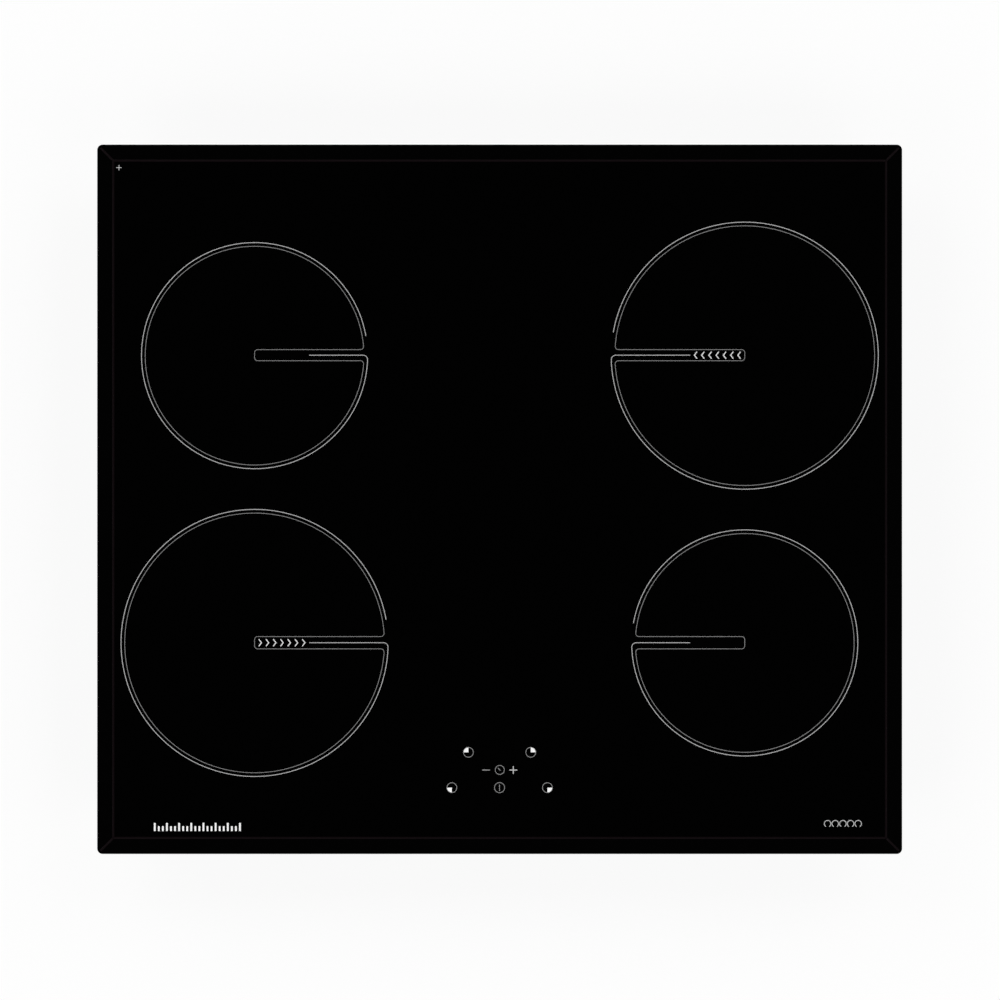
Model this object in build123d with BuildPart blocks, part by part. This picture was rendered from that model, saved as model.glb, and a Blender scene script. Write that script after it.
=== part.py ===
from build123d import *
import math
import os

# Built-in induction hob with four round cooking zones and a ground bevel on all four sides of its
# glass-ceramic top. Millimetres. X runs to the right, Y to the rear and Z up. The origin is in the
# middle of the plane where the seal under the glass lies on the worktop, so the glass stands above
# Z = 0 and the case hangs below it, in the worktop's cut-out.

# ---------------------------------------------------------------- driving dimensions
# Glass-ceramic top
glass_width = 590.0
glass_depth = 520.0
glass_thickness = 4.0
glass_corner_radius = 4.0
bevel_width = 12.0
rim_thickness = 1.8
arris = 0.4

# Worktop that the hob is dropped into
rim_overhang = 15.0
cutout_clearance = 3.0
worktop_thickness = 38.0

# Foam seal under the rim of the glass
seal_thickness = 2.0
seal_width = 10.0
seal_inset = 2.5

# Steel frame bonded to the glass, and the bead that bonds it
adhesive_thickness = 1.0
adhesive_width = 8.0
adhesive_inset = 2.5
frame_sheet = 0.8
frame_flange = 13.0
frame_skirt = 16.0

# Galvanised case: a tray with a step along its left and right sides
case_sheet = 0.8
case_gap = 0.2
case_height = 50.0
ledge_width = 26.0
bead_height = 2.0
bead_width = 12.0
bead_length = 170.0
bead_pitch = 56.0
bead_count = 3
wall_slot_width = 7.0
wall_slot_height = 14.0
wall_slot_pitch = 24.0
front_slot_count = 14
rear_slot_count = 4
side_slot_count = 4
grille_slot_width = 4.0
grille_slot_length = 20.0
grille_slot_count = 16
grille_radius = 23.0

# Self-tapping screws that join the case to the frame, and the coil plates to their posts
screw_radius = 1.75
screw_head_across = 6.4
screw_head_height = 2.2
screw_length = 7.0
screw_clearance = 0.05
frame_screw_end_gap = 65.0
frame_screw_drop = 9.0

# Round forms that nothing turns against are drawn with flat sides: the impeller's disc and its intake
# with the first count, and the windings, hubs and motors with the second
disc_side_count = 32
hub_side_count = 24

# Cooking zones: how far their middles lie from the glass's edges, and the coils under them
zone_side_gap = 115.5
zone_end_gap = 154.8
large_coil_radius = 82.0
small_coil_radius = 68.0
coil_bore_radius = 22.0
litz_thickness = 3.5
mica_thickness = 0.5
mica_margin = 1.0
former_height = 6.0
large_arm_count = 8
small_arm_count = 6
former_arm_width = 15.0
former_hub_radius = 20.0
former_bottom_web = 1.0
spigot_radius = 11.0
spigot_drop = 3.0
spigot_clearance = 0.6
ferrite_length = 42.0
ferrite_width = 10.0
ferrite_gap = 0.2
spring_height = 8.0
spring_sheet = 0.5
spring_ring_radius = 18.0
spring_overlap = 3.0
spring_leg_count = 3
spring_width = 9.0
spring_reach = 54.0
spring_foot = 6.0

# Temperature sensor in the middle of each coil
sensor_radius = 5.0
sensor_clearance = 0.3
sensor_length = 12.0

# Aluminium plates that carry the coils over the electronics
plate_sheet = 1.2
plate_lip = 8.0
plate_wall_gap = 7.0
plate_end_gap = 12.0
plate_channel = 69.0
peg_width = 4.0
peg_hole = 4.4
peg_rise = 1.0

# Moulded trays that hold the electronics, one left and one right
channel_half_width = 68.0
tray_side_gap = 3.0
tray_end_gap = 18.0
tray_floor = 2.0
tray_rim = 8.0
tray_rim_wall = 1.6
post_width = 10.0
post_inset = 9.0
rest_height = 4.0
rest_width = 8.0

# Blower: impeller, motor, scroll and cover
fan_rear_gap = 72.0
impeller_radius = 40.0
impeller_height = 17.0
impeller_disc = 1.5
blade_count = 17
blade_thickness = 1.1
blade_inner_radius = 29.0
blade_tip_radius = 39.5
blade_sweep = 9.0
blade_curve = 18.0
blade_facet_count = 3
hub_radius = 15.0
hub_wall = 1.5
hub_depth = 12.0
fan_running_gap = 2.0
motor_radius = 11.5
motor_end_gap = 1.0
shaft_radius = 1.5
shaft_clearance = 0.05
shaft_reach = 9.0
scroll_start_radius = 44.0
scroll_growth = 4.0
scroll_wall = 1.6
scroll_outlet_width = 44.0
scroll_outlet_reach = 60.0
intake_radius = 36.0
cover_sheet = 1.6
cover_rear_corner = 18.0
cover_front_corner = 28.0

# Power board and its parts
board_thickness = 1.6
board_end_gap = 22.0
board_fan_gap = 6.0
board_side_gap = 6.0
heatsink_width = 50.0
heatsink_length = 150.0
heatsink_height = 19.0
heatsink_base = 3.5
heatsink_end_gap = 10.0
fin_count = 9
fin_thickness = 1.6
transistor_count = 5
transistor_pitch = 28.0
transistor_thickness = 4.8
transistor_width = 16.0
transistor_height = 15.0
lead_length = 3.0
lead_width = 1.2
lead_pitch = 5.0
film_capacitor_count = 4
film_capacitor_pitch = 20.0
film_capacitor_width = 32.0
film_capacitor_depth = 15.0
film_capacitor_height = 18.0
parts_column_x = 46.0
parts_row_gap = 8.0
choke_core_width = 30.0
choke_core_depth = 26.0
choke_height = 16.0
choke_yoke = 3.0
choke_winding_width = 18.0
choke_winding_depth = 34.0

# Mains filter board between the trays
filter_width = 104.0
filter_depth = 118.0
filter_terminal_gap = 15.0
filter_rise = 6.0
spacer_width = 8.0
relay_width = 16.0
relay_depth = 28.0
relay_height = 16.0
mains_capacitor_width = 26.0
mains_capacitor_depth = 12.0
mains_capacitor_height = 20.0
mains_capacitor_pitch = 20.0
filter_choke_width = 36.0
filter_choke_depth = 30.0
filter_choke_height = 22.0
filter_choke_window = 12.0

# Touch control under the glass
control_front_gap = 61.5
carrier_width = 118.0
carrier_depth = 52.0
carrier_wall = 2.0
carrier_ear_length = 22.0
carrier_ear_width = 16.0
control_board_gap = 0.5
control_rest = 6.0
electrode_side = 7.0
electrode_height = 4.4
key_corner_x = 35.1
key_corner_y = 13.0
key_inner_x = 22.8
key_inner_y = 12.7
key_step_x = 10.0
digit_width = 8.0
digit_depth = 11.0
digit_height = 3.4
digit_row_y = 14.0
digit_places = (-50.0, -8.0, 8.0, 50.0)
buzzer_width = 12.0
buzzer_height = 3.5

# Terminal box for the mains lead
terminal_rear_gap = 49.0
terminal_width = 96.0
terminal_depth = 52.0
terminal_wall = 2.0
terminal_height = 28.0
terminal_flange = 5.0
terminal_pole_count = 6
terminal_pitch = 11.0
terminal_block_depth = 22.0
terminal_block_height = 15.0
terminal_well = 7.0
terminal_well_depth = 10.0
cage_height = 4.0
door_thickness = 1.8
door_gap = 0.8
door_recess = 0.3
barrel_radius = 1.9
door_pin_radius = 1.0
door_pin_clearance = 0.06
cable_outlet_width = 16.0
cable_outlet_depth = 12.0
lead_slot_width = 40.0
lead_slot_height = 5.0
mains_lead_count = 3
mains_lead_pitch = 12.0
mains_lead_size = 2.5
mains_lead_bend = 5.0

# Swivelling clamps that grip the worktop from below
clamp_sheet = 1.5
clamp_width = 16.0
clamp_reach = 46.0
clamp_top_gap = 0.3
clamp_head_gap = 0.1
clamp_end_gap = 73.0
clamp_screw_radius = 2.0
clamp_head_across = 8.0
clamp_head_height = 2.6
clamp_screw_grip = 5.0
clamp_lip = 4.0
clamp_corner = 4.0

# ---------------------------------------------------------------- levels and places worked out
glass_bottom_z = seal_thickness
glass_top_z = glass_bottom_z + glass_thickness

# The glass's rim lies on the worktop all round the cut-out.
frame_width = glass_width - 2 * (rim_overhang + cutout_clearance)
frame_depth = glass_depth - 2 * (rim_overhang + cutout_clearance)
frame_top_z = glass_bottom_z - adhesive_thickness

case_width = frame_width - 2 * (frame_sheet + case_gap)
case_depth = frame_depth - 2 * (frame_sheet + case_gap)
case_top_z = frame_top_z - frame_sheet - case_gap
case_bottom_z = case_top_z - case_height
floor_z = case_bottom_z + case_sheet
ledge_z = -worktop_thickness
pan_width = case_width - 2 * ledge_width
wall_slot_z = (frame_top_z - frame_skirt + ledge_z) / 2
frame_screw_y = case_depth / 2 - frame_screw_end_gap

zone_offset_x = glass_width / 2 - zone_side_gap
zone_offset_y = glass_depth / 2 - zone_end_gap

winding_top_z = glass_bottom_z - mica_thickness
winding_bottom_z = winding_top_z - litz_thickness
former_bottom_z = winding_bottom_z - former_height
plate_top_z = former_bottom_z - spring_height
plate_bottom_z = plate_top_z - plate_sheet

tray_bottom_z = floor_z + bead_height
tray_floor_z = tray_bottom_z + tray_floor
tray_width = pan_width / 2 - case_sheet - tray_side_gap - channel_half_width
tray_depth = case_depth - 2 * (case_sheet + tray_end_gap)
module_offset_x = channel_half_width + tray_width / 2
fan_y = tray_depth / 2 - fan_rear_gap
board_bottom_z = tray_floor_z + rest_height
board_top_z = board_bottom_z + board_thickness
board_front_y = -tray_depth / 2 + board_end_gap
board_rear_y = fan_y - scroll_outlet_reach - board_fan_gap
board_width = tray_width - 2 * board_side_gap
board_depth = board_rear_y - board_front_y
board_y = (board_rear_y + board_front_y) / 2

plate_width = case_width / 2 - case_sheet - plate_wall_gap - plate_channel
plate_depth = case_depth - 2 * (case_sheet + plate_end_gap)
plate_x = plate_channel + plate_width / 2
post_x = tray_width / 2 - post_inset
post_y = tray_depth / 2 - post_inset

impeller_bottom_z = tray_floor_z + fan_running_gap
impeller_top_z = impeller_bottom_z + impeller_height
hub_bottom_z = impeller_top_z - hub_depth
scroll_height = impeller_height + 2 * fan_running_gap
scroll_left = -scroll_start_radius - 3 * scroll_growth
scroll_right = scroll_start_radius
scroll_rear = scroll_start_radius + scroll_growth
scroll_mouth_x = scroll_left + scroll_outlet_width / 2
cover_width = scroll_right - scroll_left + 2 * scroll_wall
cover_depth = scroll_rear + scroll_wall + scroll_outlet_reach
cover_x = (scroll_left + scroll_right) / 2
cover_y = (scroll_rear + scroll_wall - scroll_outlet_reach) / 2
cover_bottom_z = tray_floor_z + scroll_height

heatsink_y = board_rear_y - heatsink_end_gap - heatsink_length / 2
transistor_x = scroll_mouth_x + (heatsink_width + transistor_thickness) / 2

terminal_center_y = case_depth / 2 - terminal_rear_gap
terminal_front_y = terminal_center_y - terminal_depth / 2 - terminal_wall - terminal_flange
filter_center_y = terminal_front_y - filter_terminal_gap - filter_depth / 2
filter_bottom_z = floor_z + filter_rise
filter_top_z = filter_bottom_z + board_thickness

control_center_y = control_front_gap - glass_depth / 2
carrier_bottom_z = plate_top_z
control_board_top_z = glass_bottom_z - electrode_height
control_board_bottom_z = control_board_top_z - board_thickness
control_board_width = carrier_width - 2 * (carrier_wall + control_board_gap)
control_board_depth = carrier_depth - 2 * (carrier_wall + control_board_gap)

door_bottom_z = case_bottom_z + door_recess
door_axis_y = terminal_center_y - terminal_depth / 2 + door_gap + barrel_radius
door_axis_z = door_bottom_z + barrel_radius
terminal_ceiling_z = floor_z + terminal_height - terminal_wall
block_bottom_z = terminal_ceiling_z - terminal_block_height
lead_level_z = terminal_ceiling_z - terminal_block_height / 3

clamp_top_z = ledge_z - clamp_top_gap
clamp_bottom_z = clamp_top_z - clamp_sheet
clamp_pivot_x = case_width / 2 - ledge_width / 2
clamp_pivot_y = case_depth / 2 - clamp_end_gap

SIDES = {"left": -1, "right": 1}
ZONES = {
    "front_left": (-1, -1, large_coil_radius, large_arm_count),
    "rear_left": (-1, 1, small_coil_radius, small_arm_count),
    "rear_right": (1, 1, large_coil_radius, large_arm_count),
    "front_right": (1, -1, small_coil_radius, small_arm_count),
}

finished = []


def finish(builder, label):
    """Names a finished piece and puts it on the list that is written at the end."""
    builder.part.label = label
    finished.append(builder.part)


def punched_hole(shank_radius):
    """Side of the square hole that a screw's shank passes through with its clearance."""
    return 2 * (shank_radius + screw_clearance)


def polar(radius, angle):
    """The point at a radius and an angle in degrees."""
    return (radius * math.cos(math.radians(angle)), radius * math.sin(math.radians(angle)))


def frame_outline(width, depth, wall):
    """A rectangular ring in a sketch: the outer outline less the same outline moved in by the wall."""
    Rectangle(width, depth)
    Rectangle(width - 2 * wall, depth - 2 * wall, mode=Mode.SUBTRACT)


# ---------------------------------------------------------------- glass, seal, bond and frame
with BuildPart() as glass_top:
    with BuildSketch(Plane.XY.offset(glass_bottom_z)):
        Rectangle(glass_width, glass_depth)
    extrude(amount=rim_thickness)
    # The bevel is ground flat on each side, so its facets meet in a mitre at each corner.
    with BuildSketch(Plane.XY.offset(glass_bottom_z + rim_thickness)):
        Rectangle(glass_width, glass_depth)
    with BuildSketch(Plane.XY.offset(glass_top_z)):
        Rectangle(glass_width - 2 * bevel_width, glass_depth - 2 * bevel_width)
    loft()
    with BuildSketch(Plane.XY.offset(glass_bottom_z)):
        RectangleRounded(glass_width, glass_depth, glass_corner_radius)
    extrude(amount=glass_thickness, mode=Mode.INTERSECT)
    chamfer(glass_top.faces().sort_by(Axis.Z)[0].edges(), length=arris)
finish(glass_top, "glass_top")

with BuildPart() as worktop_seal:
    with BuildSketch():
        frame_outline(glass_width - 2 * seal_inset, glass_depth - 2 * seal_inset, seal_width)
    extrude(amount=seal_thickness)
finish(worktop_seal, "worktop_seal")

with BuildPart() as glass_adhesive:
    with BuildSketch(Plane.XY.offset(frame_top_z)):
        frame_outline(frame_width - 2 * adhesive_inset, frame_depth - 2 * adhesive_inset, adhesive_width)
    extrude(amount=adhesive_thickness)
finish(glass_adhesive, "glass_adhesive")

with BuildPart() as glass_frame:
    with BuildSketch(Plane.XY.offset(frame_top_z - frame_sheet)):
        frame_outline(frame_width, frame_depth, frame_flange)
    extrude(amount=frame_sheet)
    with BuildSketch(Plane.XY.offset(frame_top_z - frame_skirt)):
        frame_outline(frame_width, frame_depth, frame_sheet)
    extrude(amount=frame_skirt)
    # Square punched holes for the screws, so that they can't turn loose.
    with BuildSketch(Plane.YZ):
        with Locations((-frame_screw_y, -frame_screw_drop), (frame_screw_y, -frame_screw_drop)):
            Rectangle(punched_hole(screw_radius), punched_hole(screw_radius))
    extrude(amount=frame_width / 2, both=True, mode=Mode.SUBTRACT)
finish(glass_frame, "glass_frame")

with BuildPart() as frame_screws:
    for side in SIDES.values():
        seat = Plane.YZ.offset(side * frame_width / 2)
        for y in (-frame_screw_y, frame_screw_y):
            with BuildSketch(seat):
                with Locations((y, -frame_screw_drop)):
                    RegularPolygon(screw_head_across / 2, 6, major_radius=False)
            extrude(amount=side * screw_head_height)
            # The shank is drawn with six flats in place of its thread.
            with BuildSketch(seat):
                with Locations((y, -frame_screw_drop)):
                    RegularPolygon(screw_radius, 6)
            extrude(amount=-side * screw_length)
finish(frame_screws, "frame_screws")


# ---------------------------------------------------------------- case
def bead_places():
    """Middles of the pressed beads in the pan's floor, under the power boards."""
    for side in SIDES.values():
        for i in range(bead_count):
            x = side * module_offset_x + (i - (bead_count - 1) / 2) * bead_pitch
            yield (x, board_front_y + bead_length / 2)


with BuildPart() as bottom_case:
    # The tray's stepped form, and the same form moved in by the sheet's thickness taken out of it.
    for inset, mode in ((0, Mode.ADD), (case_sheet, Mode.SUBTRACT)):
        with BuildSketch(Plane.XY.offset(ledge_z + inset)):
            Rectangle(case_width - 2 * inset, case_depth - 2 * inset)
        extrude(amount=case_top_z - ledge_z - inset, mode=mode)
        with BuildSketch(Plane.XY.offset(case_bottom_z + inset)):
            Rectangle(pan_width - 2 * inset, case_depth - 2 * inset)
        extrude(amount=ledge_z - case_bottom_z, mode=mode)
    # Beads pressed upwards from below keep the floor stiff, and the trays stand on them.
    with BuildSketch(Plane.XY.offset(floor_z)):
        with Locations(*bead_places()):
            Rectangle(bead_width, bead_length)
    extrude(amount=bead_height)
    with BuildSketch(Plane.XY.offset(case_bottom_z)):
        with Locations(*bead_places()):
            Rectangle(bead_width - 2 * case_sheet, bead_length - 2 * case_sheet)
    extrude(amount=bead_height, mode=Mode.SUBTRACT)
    # Air goes in under each blower.
    with BuildSketch(Plane.XY.offset(case_bottom_z)):
        for side in SIDES.values():
            with Locations((side * module_offset_x, fan_y)):
                with PolarLocations(grille_radius, grille_slot_count):
                    Rectangle(grille_slot_length, grille_slot_width)
    extrude(amount=case_sheet, mode=Mode.SUBTRACT)
    # It leaves through rows of slots in the walls.
    with BuildSketch(Plane.XZ.offset(case_depth / 2)):
        with Locations((0, wall_slot_z)):
            with GridLocations(wall_slot_pitch, 0, front_slot_count, 1):
                Rectangle(wall_slot_width, wall_slot_height)
    extrude(amount=-case_sheet, mode=Mode.SUBTRACT)
    with BuildSketch(Plane.XZ.offset(-case_depth / 2)):
        for side in SIDES.values():
            with Locations((side * module_offset_x, wall_slot_z)):
                with GridLocations(wall_slot_pitch, 0, rear_slot_count, 1):
                    Rectangle(wall_slot_width, wall_slot_height)
    extrude(amount=case_sheet, mode=Mode.SUBTRACT)
    with BuildSketch(Plane.YZ):
        with Locations((0, wall_slot_z)):
            with GridLocations(wall_slot_pitch, 0, side_slot_count, 1):
                Rectangle(wall_slot_width, wall_slot_height)
        with Locations((-frame_screw_y, -frame_screw_drop), (frame_screw_y, -frame_screw_drop)):
            Rectangle(punched_hole(screw_radius), punched_hole(screw_radius))
    extrude(amount=case_width / 2, both=True, mode=Mode.SUBTRACT)
    # Clamp screws pass through the ledges.
    with BuildSketch(Plane.XY.offset(ledge_z)):
        with GridLocations(2 * clamp_pivot_x, 2 * clamp_pivot_y, 2, 2):
            Rectangle(punched_hole(clamp_screw_radius), punched_hole(clamp_screw_radius))
    extrude(amount=case_sheet, mode=Mode.SUBTRACT)
    # The terminal box is reached, and the mains lead leaves, from below.
    with BuildSketch(Plane.XY.offset(case_bottom_z)):
        with Locations((0, terminal_center_y)):
            Rectangle(terminal_width, terminal_depth)
    extrude(amount=case_sheet, mode=Mode.SUBTRACT)
finish(bottom_case, "bottom_case")


# ---------------------------------------------------------------- coils
def coil_winding(x, y, radius, label):
    """Flat winding of litz wire, as the many-sided ring that its turns fill."""
    with BuildPart() as winding:
        with BuildSketch(Plane.XY.offset(winding_bottom_z)):
            with Locations((x, y)):
                RegularPolygon(radius, hub_side_count)
                RegularPolygon(coil_bore_radius, hub_side_count, mode=Mode.SUBTRACT)
        extrude(amount=litz_thickness)
    finish(winding, label)


def coil_former(x, y, radius, arms, label):
    """Moulded spider: an eight or six sided hub with a spigot, and arms that hold the ferrite bars."""
    arm_length = radius - former_hub_radius / 2
    with BuildPart() as former:
        with BuildSketch(Plane.XY.offset(former_bottom_z)):
            with Locations((x, y)):
                RegularPolygon(former_hub_radius, arms)
                with PolarLocations(former_hub_radius / 2 + arm_length / 2, arms, start_angle=180 / arms):
                    Rectangle(arm_length, former_arm_width)
        extrude(amount=former_height)
        # The spigot has the hub's number of sides, so it can't turn in the coil plate.
        with BuildSketch(Plane.XY.offset(plate_bottom_z - spigot_drop)):
            with Locations((x, y)):
                RegularPolygon(spigot_radius, arms)
        extrude(amount=former_bottom_z - plate_bottom_z + spigot_drop)
        # Pockets for the ferrite bars, open at the bottom.
        with BuildSketch(Plane.XY.offset(former_bottom_z)):
            with Locations((x, y)):
                with PolarLocations(ferrite_middle(radius), arms, start_angle=180 / arms):
                    Rectangle(ferrite_length + 2 * ferrite_gap, ferrite_width + 2 * ferrite_gap)
        extrude(amount=former_height - former_bottom_web, mode=Mode.SUBTRACT)
        # Well for the sensor, which stands on its floor.
        with BuildSketch(Plane.XY.offset(winding_bottom_z - sensor_length)):
            with Locations((x, y)):
                RegularPolygon(sensor_radius + sensor_clearance, arms, major_radius=False)
        extrude(amount=sensor_length, mode=Mode.SUBTRACT)
    finish(former, label)


def ferrite_middle(radius):
    """Distance from the coil's axis to the middle of its ferrite bars."""
    return (coil_bore_radius + radius) / 2


for zone, (along_x, along_y, coil_radius, arm_count) in ZONES.items():
    zone_x = along_x * zone_offset_x
    zone_y = along_y * zone_offset_y
    coil_winding(zone_x, zone_y, coil_radius, f"coil_winding_{zone}")
    coil_former(zone_x, zone_y, coil_radius, arm_count, f"coil_former_{zone}")

# Each sensor's silicone boot touches the glass and stands in the former's well. It has as many sides as
# the well, so it can't turn.
with BuildPart() as temp_sensors:
    for along_x, along_y, coil_radius, arm_count in ZONES.values():
        zone_middle = (along_x * zone_offset_x, along_y * zone_offset_y)
        with BuildSketch(Plane.XY.offset(winding_bottom_z - sensor_length)):
            with Locations(zone_middle):
                RegularPolygon(sensor_radius, arm_count, major_radius=False)
        extrude(amount=sensor_length + glass_bottom_z - winding_bottom_z)
finish(temp_sensors, "temp_sensors")

with BuildPart() as ferrite_bars:
    for along_x, along_y, coil_radius, arm_count in ZONES.values():
        with BuildSketch(Plane.XY.offset(former_bottom_z)):
            with Locations((along_x * zone_offset_x, along_y * zone_offset_y)):
                with PolarLocations(ferrite_middle(coil_radius), arm_count, start_angle=180 / arm_count):
                    Rectangle(ferrite_length, ferrite_width)
        extrude(amount=former_height - former_bottom_web)
finish(ferrite_bars, "ferrite_bars")

# One leaf spring under each coil: a ring round the spigot, with legs that stand on the coil plate.
spring_top_z = former_bottom_z
with BuildPart() as coil_springs:
    for along_x, along_y, coil_radius, arm_count in ZONES.values():
        zone_middle = (along_x * zone_offset_x, along_y * zone_offset_y)
        with BuildSketch(Plane.XY.offset(spring_top_z - spring_sheet)):
            with Locations(zone_middle):
                RegularPolygon(spring_ring_radius, arm_count)
                RegularPolygon(spigot_radius + spigot_clearance, arm_count, mode=Mode.SUBTRACT)
        extrude(amount=spring_sheet)
        for leg in range(spring_leg_count):
            along = polar(1, 90 + leg * 360 / spring_leg_count)
            leg_plane = Plane(origin=(*zone_middle, 0), x_dir=(*along, 0), z_dir=(along[1], -along[0], 0))
            with BuildSketch(leg_plane):
                with BuildLine():
                    Polyline(
                        (spring_ring_radius - spring_overlap, spring_top_z),
                        (spring_ring_radius, spring_top_z),
                        (spring_reach - spring_foot, plate_top_z + spring_sheet),
                        (spring_reach, plate_top_z + spring_sheet),
                        (spring_reach, plate_top_z),
                        (spring_reach - spring_foot, plate_top_z),
                        (spring_ring_radius, spring_top_z - spring_sheet),
                        (spring_ring_radius - spring_overlap, spring_top_z - spring_sheet),
                        close=True,
                    )
                make_face()
            extrude(amount=spring_width / 2, both=True)
finish(coil_springs, "coil_springs")

with BuildPart() as mica_sheets:
    with BuildSketch(Plane.XY.offset(winding_top_z)):
        with GridLocations(2 * zone_offset_x, 0, 2, 1):
            Rectangle(
                2 * (large_coil_radius + mica_margin),
                2 * (zone_offset_y + large_coil_radius + mica_margin),
            )
        for along_x, along_y, coil_radius, arm_count in ZONES.values():
            with Locations((along_x * zone_offset_x, along_y * zone_offset_y)):
                RegularPolygon(
                    sensor_radius + sensor_clearance, arm_count, major_radius=False, mode=Mode.SUBTRACT
                )
    extrude(amount=mica_thickness)
finish(mica_sheets, "mica_sheets")

for side_name, side in SIDES.items():
    with BuildPart() as coil_plate:
        with BuildSketch(Plane.XY.offset(plate_bottom_z)):
            with Locations((side * plate_x, 0)):
                Rectangle(plate_width, plate_depth)
            for along_x, along_y, coil_radius, arm_count in ZONES.values():
                if along_x == side:
                    with Locations((along_x * zone_offset_x, along_y * zone_offset_y)):
                        RegularPolygon(spigot_radius + spigot_clearance, arm_count, mode=Mode.SUBTRACT)
            with Locations((side * module_offset_x, 0)):
                with GridLocations(2 * post_x, 2 * post_y, 2, 2):
                    Rectangle(peg_hole, peg_hole, mode=Mode.SUBTRACT)
        extrude(amount=plate_sheet)
        # Both long edges are folded down.
        with BuildSketch(Plane.XY.offset(plate_bottom_z)):
            with Locations((side * plate_x, 0)):
                with GridLocations(plate_width - plate_sheet, 0, 2, 1):
                    Rectangle(plate_sheet, plate_depth)
        extrude(amount=-plate_lip)
    finish(coil_plate, f"coil_plate_{side_name}")


# ---------------------------------------------------------------- power modules, one left and one right
def scroll_line(grow):
    """The blower's inner line about its own middle, or the same line moved out by grow.

    Three quarter arcs, each with a radius larger than the last by scroll_growth, run from the tongue
    at the front round the right, the rear and the left, and straight lines lead on to the outlet.
    """
    start = scroll_start_radius + grow
    step = scroll_growth
    left = scroll_left - grow
    tongue = scroll_left + scroll_outlet_width + grow
    mouth = -scroll_outlet_reach
    CenterArc((0, 0), start, -90, 90)
    CenterArc((-step, 0), start + step, 0, 90)
    CenterArc((-step, -step), start + 2 * step, 90, 90)
    Polyline((left, -step), (left, mouth), (tongue, mouth), (tongue, -start), (0, -start))


def blade_face(lean):
    """Points along one face of a blade, from its inner edge to its tip, set back by an arc length."""
    inner_angle = -math.degrees(lean / blade_inner_radius)
    tip_angle = blade_sweep - math.degrees(lean / blade_tip_radius)
    arc = RadiusArc(
        polar(blade_inner_radius, inner_angle), polar(blade_tip_radius, tip_angle), blade_curve,
        mode=Mode.PRIVATE,
    )
    return [arc @ (i / blade_facet_count) for i in range(blade_facet_count + 1)]


# A forward-curved blade seen from above: the band between two equal arcs, each made of short flats.
with BuildSketch() as blade_plan:
    with BuildLine():
        Polyline(*blade_face(0), *reversed(blade_face(blade_thickness)), close=True)
    make_face()

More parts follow.
